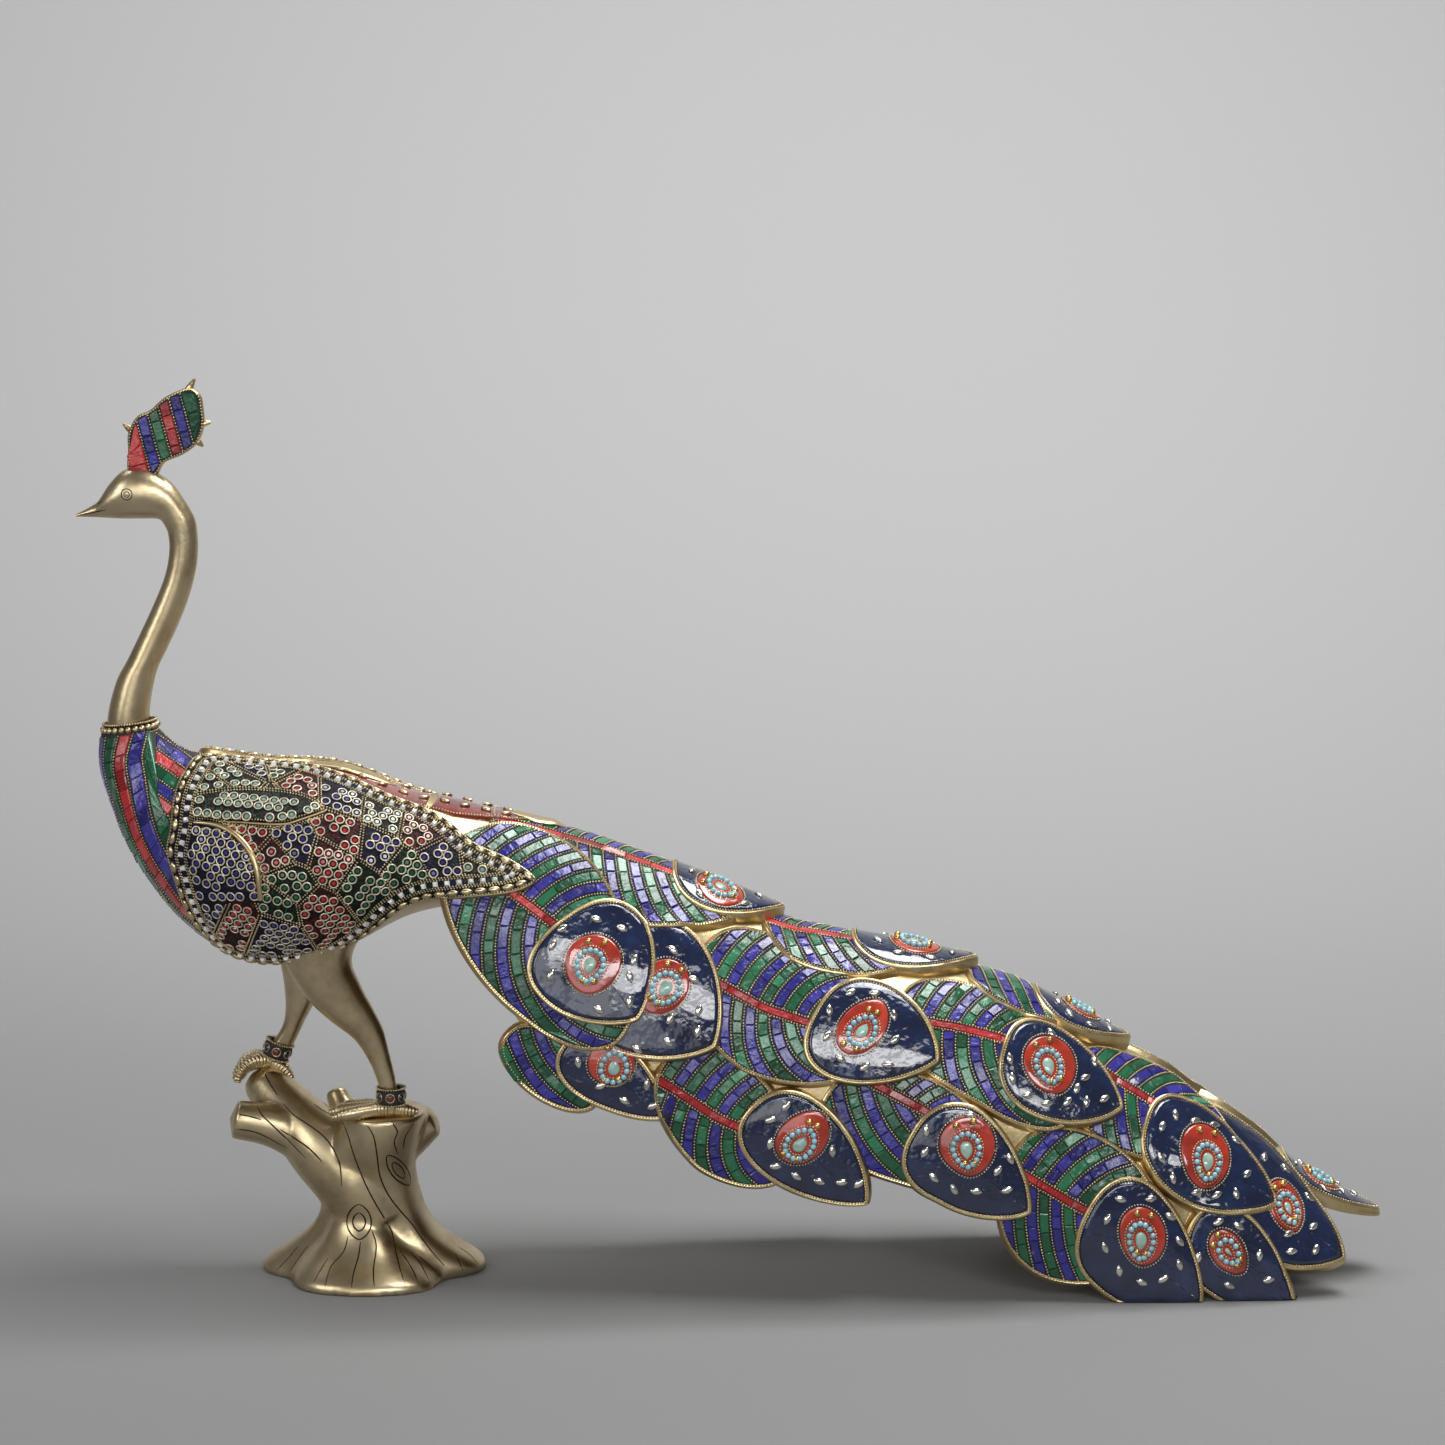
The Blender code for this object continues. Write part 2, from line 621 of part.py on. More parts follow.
def trunk_shape():
    """Rings from the roots' flare up to the flat top."""
    shape = bmesh.new()
    rings = []
    for height, shift_x, shift_y, long, wide in TRUNK_RINGS:
        z = min(height, STUMP_HEIGHT)
        lobes = ROOT_DEPTH * max(0.15, 1 - z / 0.060)
        ring = []
        for turn in np.linspace(0, 2 * math.pi, 36, endpoint=False):
            wave = 1 - lobes * (0.5 - 0.5 * math.cos(ROOTS * turn))
            ring.append(Vector((shift_x + STUMP_HALF_LENGTH * long * wave * math.cos(turn),
                                shift_y + STUMP_HALF_WIDTH * wide * wave * math.sin(turn), z)))
        rings.append(ring)
    bridge_rings(shape, rings)
    return shape


def stump_parts(helpers):
    """Trunk, the two branches to the left, the stub to the right and the one behind."""
    top = STUMP_HEIGHT
    far = LEG_SPREAD
    perch = [(-0.010, 0.010, 0.075, 0.030), (-0.040, 0.020, 0.105, 0.024),
             (-0.070, 0.030, 0.130, 0.0205), (-0.092, far, top + 0.003, 0.0185),
             (-0.104, far, top + 0.016, 0.0150), (-0.108, far, top + 0.021, 0.0100)]
    sawn = [(-0.010, 0.000, 0.108, 0.030), (-0.055, -0.006, 0.120, 0.0205),
            (-0.090, -0.010, 0.131, 0.0175), (-0.1215, -0.012, 0.138, SAWN_BRANCH_RADIUS)]
    stub = [(0.000, 0.000, 0.112, 0.036), (0.030, 0.000, 0.124, 0.025),
            (0.0555, 0.000, 0.136, STUB_RADIUS)]
    knob = [(-0.020, 0.030, 0.120, 0.0180), (-0.032, 0.042, 0.140, 0.0115),
            (-0.037, 0.048, 0.150, 0.0095)]
    made = [place("trunk", trunk_shape(), helpers)]
    for path in (perch, sawn, stub, knob):
        made.append(place("branch", tube(path, 14), helpers))
    return made


# Crest, collar and anklets

def crest_parts(helpers):
    """A plate shaped like a short plume, with a prong at each corner."""
    outline = [(-0.2040, 0.7165), (-0.2035, 0.735), (-0.2030, 0.750), (-0.1950, 0.764),
               (-0.1830, 0.770), (-0.1700, 0.781), (-0.1500, 0.789), (-0.1400, 0.783),
               (-0.1375, 0.772), (-0.1370, 0.756), (-0.1430, 0.741), (-0.1560, 0.731),
               (-0.1720, 0.724), (-0.1790, 0.7135), (-0.1925, 0.7125)]
    half = CREST_THICKNESS / 2
    shape = bmesh.new()
    rings = []
    for y, inset in ((-half, 0.0016), (-0.5 * half, 0.0), (0.5 * half, 0.0), (half, 0.0016)):
        heart = Vector((-0.170, 0, 0.750))
        ring = []
        for x, z in outline:
            spot = Vector((x, 0, z))
            spot += (heart - spot).normalized() * inset
            ring.append(Vector((spot.x, y, spot.z)))
        rings.append(ring)
    bridge_rings(shape, rings)
    made = [place("crest_plate", shape, helpers)]
    for start, end in (((-0.198, 0.750), (-0.2075, 0.7575)), ((-0.152, 0.784), (-0.1445, 0.7965)),
                       ((-0.141, 0.758), (-0.1310, 0.7590)), ((-0.146, 0.745), (-0.1385, 0.7380))):
        path = [(start[0], 0, start[1], 0.0034), (end[0], 0, end[1], 0.0012)]
        made.append(place("prong", tube(path, 8), helpers))
    return made


def ring_of_beads(radius, bead, count, squash=1.0):
    """Small balls around a circle, one body each."""
    shape = bmesh.new()
    for turn in np.linspace(0.07, 0.07 + 2 * math.pi, count, endpoint=False):
        spin = Matrix.Rotation(turn, 4, "Z")
        move = Matrix.Translation((radius, 0, 0)) @ Matrix.Diagonal((squash, 1, 1, 1))
        bmesh.ops.create_icosphere(shape, subdivisions=1, radius=bead, matrix=spin @ move)
    return shape


def turned_band(inner, wall, rim, height, sides):
    """A band turned about Z, with a thicker rim along its upper and lower edges."""
    half = height / 2
    lip = min(rim, 0.4 * half)
    profile = [(inner, -half), (inner + wall, -half), (inner + wall + rim, -half + 0.5 * lip),
               (inner + wall, -half + lip), (inner + wall, half - lip),
               (inner + wall + rim, half - 0.5 * lip), (inner + wall, half), (inner, half)]
    shape = bmesh.new()
    loops = []
    for radius, z in profile:
        made = bmesh.ops.create_circle(shape, segments=sides, radius=radius,
                                       matrix=Matrix.Translation((0, 0, z)))
        loops.append(made["verts"])
    for near, far in zip(loops, loops[1:] + loops[:1]):
        for i in range(sides):
            shape.faces.new((near[i], near[(i + 1) % sides], far[(i + 1) % sides], far[i]))
    return shape


def move_to(found, centre, axis, stretch=1.0):
    """Turns a ring about Z to lie across axis, and carries it to centre."""
    spin = Vector((0, 0, 1)).rotation_difference(Vector(axis)).to_matrix().to_4x4()
    carry = Matrix.Translation(centre) @ spin @ Matrix.Diagonal((stretch, 1, 1, 1))
    found.data.transform(carry)


def collar_parts(helpers):
    """A band with a row of beads between two wires."""
    height = 2 * (COLLAR_BEAD + 2 * COLLAR_WIRE)
    band = turned_band(COLLAR_RADIUS - 0.0030, 0.0038, 1.2 * COLLAR_WIRE, height, 26)
    beads = ring_of_beads(COLLAR_RADIUS, COLLAR_BEAD, COLLAR_BEADS)
    made = [place("collar_band", band, helpers), place("collar_beads", beads, helpers)]
    for piece in made:
        move_to(piece, (-0.2075, 0, 0.4915), (-0.10, 0, 1.0))
    return made


def anklet_parts(helpers, centre, axis):
    """A band with stones set round it, between two wires."""
    band = turned_band(ANKLET_RADIUS - 0.0028, 0.0034, 0.0020, ANKLET_HEIGHT, 18)
    stones = ring_of_beads(ANKLET_RADIUS + 0.0004, ANKLET_STONE, ANKLET_STONES, 0.5)
    made = [place("anklet_band", band, helpers), place("anklet_stones", stones, helpers)]
    for piece in made:
        move_to(piece, centre, axis)
    return made


# Assembly

def finished(pieces, name, material, shown, helpers, cutters=()):
    """Fuses pieces into one solid, cuts it, and files it under its name."""
    solid = combine(pieces[0], pieces[1:], "UNION")
    solid = combine(solid, cutters, "DIFFERENCE")
    tidy_mesh(solid, material)
    solid.name = name
    solid.data.name = name
    helpers.objects.unlink(solid)
    shown.objects.link(solid)
    return solid


def main():
    shown, helpers = start_scene()
    brass = finish("antique brass", (0.55, 0.44, 0.25), 0.35, 1.0)
    dark = finish("worked brass", (0.42, 0.33, 0.20), 0.45, 1.0)
    train = combine(*(lambda p: (p[0], p[1:]))(train_parts(helpers)), "UNION")
    body_probe = place("body_probe", loft(body_sections(), SIDES), helpers)
    graph = bpy.context.evaluated_depsgraph_get()
    bed = wing_bed([BVHTree.FromObject(probe, graph) for probe in (body_probe, train)])

    def figure(grow):
        pieces = figure_parts(grow, helpers)
        for side in (-1, 1):
            wing = wing_shape(bed, side, 5 * grow)
            pieces.append(place("wing_skin", wing, helpers))
        return pieces

    room = combine(*(lambda p: (p[0], p[1:]))(figure(GAP)), "UNION")
    room.name = "figure_room"
    room.display_type = "WIRE"
    room.hide_render = True
    ground = bmesh.new()
    bmesh.ops.create_cube(ground, size=1.0, matrix=Matrix.Diagonal((2.0, 0.6, 0.4, 1.0)))
    bmesh.ops.translate(ground, vec=(0, 0, TRAIN_FOOT - 0.2), verts=ground.verts)
    floor = place("floor_trim", ground, helpers)
    finished(figure(0.0), "peacock", brass, shown, helpers)
    train = combine(train, [floor], "DIFFERENCE")
    finished([train], "train", brass, shown, helpers, [room])
    finished(stump_parts(helpers), "tree_stump", brass, shown, helpers, [room])
    finished(crest_parts(helpers), "crest", dark, shown, helpers, [room])
    finished(collar_parts(helpers), "neck_collar", brass, shown, helpers, [room])
    near = anklet_parts(helpers, (0.0205, -LEG_SPREAD, STUMP_HEIGHT + 0.0185), (0, 0, 1))
    finished(near, "anklet_near", dark, shown, helpers, [room])
    far = anklet_parts(helpers, (-0.0875, LEG_SPREAD, STUMP_HEIGHT + 0.043), (0.38, 0, 1))
    finished(far, "anklet_far", dark, shown, helpers, [room])
    bpy.data.objects.remove(body_probe, do_unlink=True)
    for solid in shown.objects:
        solid.data.transform(Matrix.Translation((STUMP_X, 0, 0)))


main()
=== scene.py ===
"""Inlaid brass peacock on a tree stump: the looks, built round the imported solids.

Lengths are metres, +Z is up, the head looks along -X and the tail trails along +X. The near side
is -Y. Shapes are worked out from the middle of the stump and carried to their place at the end.
"""
import math

import bmesh
import bpy
import numpy as np
from mathutils import Matrix, Vector
from mathutils.bvhtree import BVHTree


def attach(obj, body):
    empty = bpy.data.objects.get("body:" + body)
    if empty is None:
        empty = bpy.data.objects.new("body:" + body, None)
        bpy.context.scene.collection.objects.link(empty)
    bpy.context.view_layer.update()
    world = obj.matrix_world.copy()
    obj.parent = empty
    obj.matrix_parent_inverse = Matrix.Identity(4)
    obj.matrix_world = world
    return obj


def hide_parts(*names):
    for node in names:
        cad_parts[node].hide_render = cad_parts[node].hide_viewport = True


bl_info = {
    "name": "Inlaid brass peacock",
    "version": (1, 0, 0),
    "blender": (4, 5, 0),
    "location": "View3D > Sidebar > Peacock",
    "description": "Builds the castings, stone inlay, bead wires and studio of a brass peacock",
    "category": "Object",
}

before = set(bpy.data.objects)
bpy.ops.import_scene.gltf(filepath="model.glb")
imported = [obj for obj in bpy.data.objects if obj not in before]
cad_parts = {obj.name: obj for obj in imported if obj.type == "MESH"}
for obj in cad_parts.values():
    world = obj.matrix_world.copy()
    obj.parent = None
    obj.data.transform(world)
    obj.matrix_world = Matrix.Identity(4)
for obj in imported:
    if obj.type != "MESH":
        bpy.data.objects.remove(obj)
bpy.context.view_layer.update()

STUMP_X = -0.326            # the stump's middle from the middle of the whole length
STUMP_HEIGHT = 0.149
EYE_POINT = Vector((0.3132, -3.3, 1.0))     # where the front view is seen from
FRONT_PLANE = -0.088        # marks seen from the front are given on this plane along Y
BARK_PLANE = -0.050


# Settings shown in the sidebar

class InlaySettings(bpy.types.PropertyGroup):
    bead: bpy.props.FloatProperty(name="Bead radius", description="Radius of a bead in the wires",
                                  default=0.00100, unit="LENGTH", precision=5)
    bead_step: bpy.props.FloatProperty(name="Bead step", description="From one bead to the next",
                                       default=0.0026, unit="LENGTH", precision=5)
    stripe: bpy.props.FloatProperty(name="Stripe step", description="From one stripe to the next",
                                    default=0.0112, unit="LENGTH", precision=4)
    tile: bpy.props.FloatProperty(name="Tile height", description="How far a tile stands proud",
                                  default=0.0011, unit="LENGTH", precision=5)
    ring: bpy.props.FloatProperty(name="Ring step", description="From one wing ring to the next",
                                  default=0.0088, unit="LENGTH", precision=4)
    lapis: bpy.props.FloatVectorProperty(name="Lapis", description="Colour of the blue stone",
                                         subtype="COLOR", default=(0.022, 0.019, 0.220))
    malachite: bpy.props.FloatVectorProperty(name="Malachite", subtype="COLOR",
                                             description="Colour of the green stone",
                                             default=(0.008, 0.105, 0.042))
    coral: bpy.props.FloatVectorProperty(name="Coral", description="Colour of the red stone",
                                         subtype="COLOR", default=(0.430, 0.018, 0.022))
    turquoise: bpy.props.FloatVectorProperty(name="Turquoise", description="Colour of the pale balls",
                                             subtype="COLOR", default=(0.270, 0.540, 0.640))
    navy: bpy.props.FloatVectorProperty(name="Navy enamel", description="Colour of the panels",
                                        subtype="COLOR", default=(0.004, 0.012, 0.052))
    orange: bpy.props.FloatVectorProperty(name="Orange enamel", description="Colour of the drops",
                                          subtype="COLOR", default=(0.420, 0.032, 0.014))


class MetalSettings(bpy.types.PropertyGroup):
    brass: bpy.props.FloatVectorProperty(name="Brass", description="Colour of the castings",
                                         subtype="COLOR", default=(0.590, 0.475, 0.290))
    # Dark brass: the low end of the cloudy tone, and the colour of the painted shade in the hollows
    dark_brass: bpy.props.FloatVectorProperty(name="Dark brass and hollow shade", subtype="COLOR",
                                              description="Colour of the castings in the hollows",
                                              default=(0.190, 0.135, 0.065))
    wire: bpy.props.FloatVectorProperty(name="Bead wire", description="Colour of the beads",
                                        subtype="COLOR", default=(0.660, 0.540, 0.330))
    silver: bpy.props.FloatVectorProperty(name="Studs", description="Colour of the pale studs",
                                          subtype="COLOR", default=(0.780, 0.750, 0.680))
    gold: bpy.props.FloatVectorProperty(name="Gold balls", description="Colour of the gold balls",
                                        subtype="COLOR", default=(0.700, 0.440, 0.160))
    roughness: bpy.props.FloatProperty(name="Roughness", description="Of the satin brass",
                                       default=0.30, min=0.0, max=1.0)


class StudioSettings(bpy.types.PropertyGroup):
    # The backdrop's colour at the wall; painted shade darkens it towards the camera
    tone: bpy.props.FloatVectorProperty(name="Backdrop", description="Colour of the backdrop",
                                        subtype="COLOR", default=(0.460, 0.460, 0.460))
    view_angle: bpy.props.FloatProperty(name="View angle", description="Of the camera",
                                        default=math.radians(21.55), subtype="ANGLE")


def inlay():
    return bpy.context.scene.peacock_inlay


def metal():
    return bpy.context.scene.peacock_metal


# Curves and grids of numbers

def smooth_rows(rows, steps, closed=False):
    """Rows of numbers passed through a Catmull-Rom curve, with steps new rows a span."""
    rows = np.array(rows, float)
    if closed:
        padded = np.vstack([rows[-1], rows, rows[0], rows[1]])
    else:
        padded = np.vstack([2 * rows[0] - rows[1], rows, 2 * rows[-1] - rows[-2]])
    made = []
    for i in range(1, len(padded) - 2):
        before, start, end, after = padded[i - 1:i + 3]
        for k in range(steps):
            t = k / steps
            made.append(0.5 * (2 * start + (end - before) * t
                               + (2 * before - 5 * start + 4 * end - after) * t ** 2
                               + (3 * start - before - 3 * end + after) * t ** 3))
    if not closed:
        made.append(rows[-1])
    return np.array(made)


def read_grid(us, vs, grid, u, v):
    """Reads an even grid between its points."""
    x = np.clip((np.asarray(u) - us[0]) / (us[1] - us[0]), 0, len(us) - 1.001)
    y = np.clip((np.asarray(v) - vs[0]) / (vs[1] - vs[0]), 0, len(vs) - 1.001)
    i, j = x.astype(int), y.astype(int)
    fx, fy = x - i, y - j
    if grid.ndim == 3:
        fx, fy = fx[..., None], fy[..., None]
    return ((grid[i, j] * (1 - fx) + grid[i + 1, j] * fx) * (1 - fy)
            + (grid[i, j + 1] * (1 - fx) + grid[i + 1, j + 1] * fx) * fy)


def outline_depth(outline, u, v):
    """How far points lie inside a closed outline; negative outside."""
    u, v = np.asarray(u, float), np.asarray(v, float)
    points = np.stack([u.ravel(), v.ravel()], 1)
    start, end = outline, np.roll(outline, -1, axis=0)
    step = end - start
    length = np.maximum((step ** 2).sum(1), 1e-14)
    best = np.full(len(points), 1e9)
    inside = np.zeros(len(points), bool)
    for a, b, d, size in zip(start, end, step, length):
        away = points - a
        t = np.clip((away @ d) / size, 0, 1)
        gap = away - t[:, None] * d
        best = np.minimum(best, (gap ** 2).sum(1))
        if a[1] != b[1]:
            crosses = (a[1] > points[:, 1]) != (b[1] > points[:, 1])
            inside ^= crosses & (points[:, 0] < a[0] + (points[:, 1] - a[1]) * d[0] / d[1])
    return (np.sqrt(best) * np.where(inside, 1, -1)).reshape(u.shape)


def inset(outline, by):
    """A closed outline moved inwards."""
    ahead = np.roll(outline, -1, axis=0) - np.roll(outline, 1, axis=0)
    normal = np.stack([-ahead[:, 1], ahead[:, 0]], 1)
    normal /= np.linalg.norm(normal, axis=1, keepdims=True)
    area = (outline[:, 0] * np.roll(outline[:, 1], -1)
            - outline[:, 1] * np.roll(outline[:, 0], -1)).sum()
    return outline + normal * by * (1 if area > 0 else -1)


def longest_run(flags):
    """First and last index of the longest row of true flags, or None."""
    edges = np.flatnonzero(np.diff(np.concatenate([[0], flags.astype(int), [0]])))
    if not len(edges):
        return None
    starts, ends = edges[::2], edges[1::2] - 1
    best = np.argmax(ends - starts)
    return starts[best], ends[best]


class Skin:
    """A sheet known by a grid of points over two coordinates."""

    def __init__(self, us, vs, points, flip=1.0):
        self.us, self.vs, self.points = us, vs, points
        ahead, across = np.gradient(points, us, axis=0), np.gradient(points, vs, axis=1)
        normals = np.cross(ahead, across) * flip
        self.normals = normals / np.maximum(np.linalg.norm(normals, axis=2, keepdims=True), 1e-12)

    def at(self, u, v, lift=0.0):
        points = read_grid(self.us, self.vs, self.points, u, v)
        normals = self.normal(u, v)
        return points + normals * np.broadcast_to(lift, points.shape[:-1])[..., None]

    def normal(self, u, v):
        found = read_grid(self.us, self.vs, self.normals, u, v)
        return found / np.maximum(np.linalg.norm(found, axis=-1, keepdims=True), 1e-12)


class SeenSkin:
    """A mesh read along lines of sight: its coordinates are X and Z on the front plane."""

    def __init__(self, tree, plane=FRONT_PLANE):
        self.tree, self.plane = tree, plane

    def cast(self, u, v):
        u, v = np.asarray(u, float), np.asarray(v, float)
        points = np.full(u.shape + (3,), np.nan)
        normals = np.full(u.shape + (3,), np.nan)
        for spot in np.ndindex(u.shape):
            towards = Vector((u[spot], self.plane, v[spot])) - EYE_POINT
            hit = self.tree.ray_cast(EYE_POINT, towards)
            if hit[0] is not None:
                normal = hit[1] if hit[1].dot(towards) < 0 else -hit[1]
                points[spot], normals[spot] = hit[0], normal
        return points, normals

    def at(self, u, v, lift=0.0):
        points, normals = self.cast(u, v)
        return points + normals * np.broadcast_to(lift, points.shape[:-1])[..., None]

    def normal(self, u, v):
        return self.cast(u, v)[1]


def seen(points):
    """X and Z on the front plane of points as seen from the front."""
    share = (FRONT_PLANE - EYE_POINT.y) / (points[..., 1] - EYE_POINT.y)
    return (EYE_POINT.x + (points[..., 0] - EYE_POINT.x) * share,
            EYE_POINT.z + (points[..., 2] - EYE_POINT.z) * share)


# Meshes

def arrays(shape):
    """Corners and triangles of a closed bmesh, which is freed."""
    bmesh.ops.recalc_face_normals(shape, faces=shape.faces)
    bmesh.ops.triangulate(shape, faces=shape.faces)
    shape.verts.index_update()
    corners = np.array([v.co for v in shape.verts])
    faces = np.array([[v.index for v in f.verts] for f in shape.faces])
    shape.free()
    return corners, faces


GLOBES = {}


def wrapped(rings, first=None, last=None):
    """A closed skin over rings of points: a globe whose circles of latitude are moved to them."""
    rings = np.asarray(rings, float)
    count, sides = rings.shape[:2]
    if (count, sides) not in GLOBES:
        shape = bmesh.new()
        bmesh.ops.create_uvsphere(shape, u_segments=sides, v_segments=count + 1, radius=1.0)
        corners, faces = arrays(shape)
        level = np.rint(np.arccos(np.clip(corners[:, 2], -1, 1)) / math.pi * (count + 1)).astype(int)
        turn = np.rint(np.arctan2(corners[:, 1], corners[:, 0]) / (2 * math.pi) * sides)
        GLOBES[(count, sides)] = (level, turn.astype(int) % sides, faces)
    level, turn, faces = GLOBES[(count, sides)]
    first = rings[0].mean(0) if first is None else first
    last = rings[-1].mean(0) if last is None else last
    table = np.concatenate([np.repeat(np.reshape(first, (1, 1, 3)), sides, 1), rings,
                            np.repeat(np.reshape(last, (1, 1, 3)), sides, 1)])
    corners = table[level, turn]
    a, b, c = (corners[faces[:, k]] - rings[0, 0] for k in range(3))
    if (a * np.cross(b, c)).sum() < 0:
        faces = faces[:, ::-1]
    return {"corners": corners, "faces": faces, "level": level}


def repeated(shape, origins, xs=None, ys=None, zs=None):
    """A small shape set down many times, turned to the given axes."""
    corners, faces = shape if isinstance(shape, tuple) else arrays(shape)
    origins = np.asarray(origins, float).reshape(-1, 3)
    count = len(origins)
    xs = np.broadcast_to((1.0, 0, 0) if xs is None else xs, (count, 3))
    ys = np.broadcast_to((0, 1.0, 0) if ys is None else ys, (count, 3))
    zs = np.broadcast_to((0, 0, 1.0) if zs is None else zs, (count, 3))
    spots = (origins[:, None] + corners[None, :, 0:1] * xs[:, None]
             + corners[None, :, 1:2] * ys[:, None] + corners[None, :, 2:3] * zs[:, None])
    moved = faces[None] + (np.arange(count) * len(corners))[:, None, None]
    return {"corners": spots.reshape(-1, 3), "faces": moved.reshape(-1, 3),
            "tone": np.repeat(np.modf(np.sin(np.arange(count) * 12.9898 + 4.1) * 437.5)[0] % 1.0,
                              len(corners))}


def ball():
    shape = bmesh.new()
    bmesh.ops.create_icosphere(shape, subdivisions=1, radius=1.0)
    return arrays(shape)


def fine_ball():
    shape = bmesh.new()
    bmesh.ops.create_icosphere(shape, subdivisions=2, radius=1.0)
    return arrays(shape)


def almond():
    """A low dome with two pointed ends, one unit half length, width and height."""
    shape = bmesh.new()
    bmesh.ops.create_uvsphere(shape, u_segments=12, v_segments=6, radius=1.0)
    for vert in shape.verts:
        vert.co.y *= math.sqrt(max(0.0, 1 - vert.co.x ** 2)) ** 0.8
    return arrays(shape)


def facet_square():
    """A square stone with a small flat top."""
    shape = bmesh.new()
    bmesh.ops.create_cone(shape, cap_ends=True, segments=4, radius1=1.0, radius2=0.55, depth=1.0,
                          matrix=Matrix.Translation((0, 0, 0.3)) @ Matrix.Rotation(math.pi / 4, 4, "Z"))
    return arrays(shape)


def low_dome():
    """A round stone in its setting."""
    shape = bmesh.new()
    bmesh.ops.create_cone(shape, cap_ends=True, segments=9, radius1=1.0, radius2=0.62, depth=0.5)
    return arrays(shape)


def hoop(major, minor, around=14, section=4):
    """A round wire ring made by spinning a small circle."""
    shape = bmesh.new()
    bmesh.ops.create_circle(shape, segments=section, radius=minor,
                            matrix=Matrix.Translation((major, 0, 0))
                            @ Matrix.Rotation(math.pi / 2, 4, "X"))
    bmesh.ops.spin(shape, geom=shape.edges[:], cent=(0, 0, 0), axis=(0, 0, 1),
                   angle=2 * math.pi, steps=around, use_merge=True)
    bmesh.ops.remove_doubles(shape, verts=shape.verts, dist=minor * 0.05)
    return arrays(shape)


def tile_unit():
    """A tile over the unit square with softened edges: X and Y are shares, Z is the height."""
    shape = bmesh.new()
    bmesh.ops.create_grid(shape, x_segments=5, y_segments=3, size=0.5,
                          matrix=Matrix.Translation((0.5, 0.5, 0)))
    long = (0.0, 0.05, 0.35, 0.65, 0.95, 1.0)
    wide = (0.0, 0.10, 0.90, 1.0)
    for vert in shape.verts:
        i, j = round(vert.co.x * 5), round(vert.co.y * 3)
        vert.co = (long[i], wide[j], 1.0 if 0 < i < 5 and 0 < j < 3 else 0.35)
    rim = [e for e in shape.edges if e.is_boundary]
    wall = bmesh.ops.extrude_edge_only(shape, edges=rim)["geom"]
    for vert in (g for g in wall if isinstance(g, bmesh.types.BMVert)):
        vert.co.z = -0.4
    bmesh.ops.holes_fill(shape, edges=[e for e in shape.edges if e.is_boundary], sides=0)
    return arrays(shape)


def joined(parts):
    """Several lots of corners and triangles as one."""
    corners, faces, tone, plan, finish = [], [], [], [], []
    base = 0
    for part in parts:
        size = len(part["corners"])
        corners.append(part["corners"])
        faces.append(part["faces"] + base)
        tone.append(part.get("tone", np.zeros(size)))
        plan.append(part.get("plan", np.zeros((size, 2))))
        finish.append(part.get("finish", np.zeros(len(part["faces"]), int)))
        base += size
    return {"corners": np.concatenate(corners), "faces": np.concatenate(faces),
            "tone": np.concatenate(tone), "plan": np.concatenate(plan),
            "finish": np.concatenate(finish)}


def mirrored(part):
    """The same on the far side."""
    other = dict(part)
    other["corners"] = part["corners"] * (1, -1, 1)
    other["faces"] = part["faces"][:, ::-1]
    return other


def bare(part, name="work"):
    """A mesh object from corners and triangles, still in the shaping frame."""
    mesh = bpy.data.meshes.new(name)
    count = len(part["faces"])
    mesh.vertices.add(len(part["corners"]))
    mesh.vertices.foreach_set("co", np.ascontiguousarray(part["corners"], np.float32).ravel())
    mesh.loops.add(count * 3)
    mesh.loops.foreach_set("vertex_index", np.ascontiguousarray(part["faces"], np.int32).ravel())
    mesh.polygons.add(count)
    mesh.polygons.foreach_set("loop_start", np.arange(0, count * 3, 3, dtype=np.int32))
    mesh.update(calc_edges=True)
    mesh.validate()
    made = bpy.data.objects.new(name, mesh)
    bpy.context.scene.collection.objects.link(made)
    return made


def finished(made, name, materials, node, sharp=None):
    """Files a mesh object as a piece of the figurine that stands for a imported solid."""
    made.name = made.data.name = name
    made.data.transform(Matrix.Translation((STUMP_X, 0, 0)))
    if not len(made.data.materials):
        for material in materials:
            made.data.materials.append(material)
    made.data.shade_smooth()
    if sharp:
        made.data.set_sharp_from_angle(angle=math.radians(sharp))
    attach(made, "root")
    if node:
        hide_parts(node)
    return made


def piece(name, parts, materials, node=None, sharp=None):
    """A piece from lots of corners and triangles, with each part's tone and plan on it."""
    part = joined(parts)
    made = bare(part, name)
    mesh = made.data
    tone = mesh.attributes.new("tone", "FLOAT", "POINT")
    tone.data.foreach_set("value", part["tone"].astype(np.float32))
    if "plan" in part and np.any(part["plan"]):
        layer = mesh.uv_layers.new(name="plan")
        loops = part["plan"][part["faces"].ravel()]
        layer.data.foreach_set("uv", loops.astype(np.float32).ravel())
    mesh.polygons.foreach_set("material_index", part["finish"].astype(np.int32))
    return finished(made, name, materials, node, sharp)


# Materials

def new_material(name):
    made = bpy.data.materials.new(name)
    made.use_nodes = True
    nodes = made.node_tree.nodes
    return made, nodes, made.node_tree.links, nodes["Principled BSDF"]


def add(nodes, kind, **values):
    made = nodes.new(kind)
    for key, value in values.items():
        if key in made.inputs:
            made.inputs[key].default_value = value
        else:
            setattr(made, key, value)
    return made


def ramp(nodes, stops):
    made = nodes.new("ShaderNodeValToRGB")
    line = made.color_ramp
    line.elements[0].position, line.elements[0].color = stops[0][0], (*stops[0][1], 1)
    line.elements[1].position, line.elements[1].color = stops[-1][0], (*stops[-1][1], 1)
    for place, colour in stops[1:-1]:
        line.elements.new(place).color = (*colour, 1)
    return made


def scaled(colour, share):
    return tuple(min(1.0, c * share) for c in colour)


def blended(one, other, share):
    return tuple(a + (b - a) * share for a, b in zip(one, other))


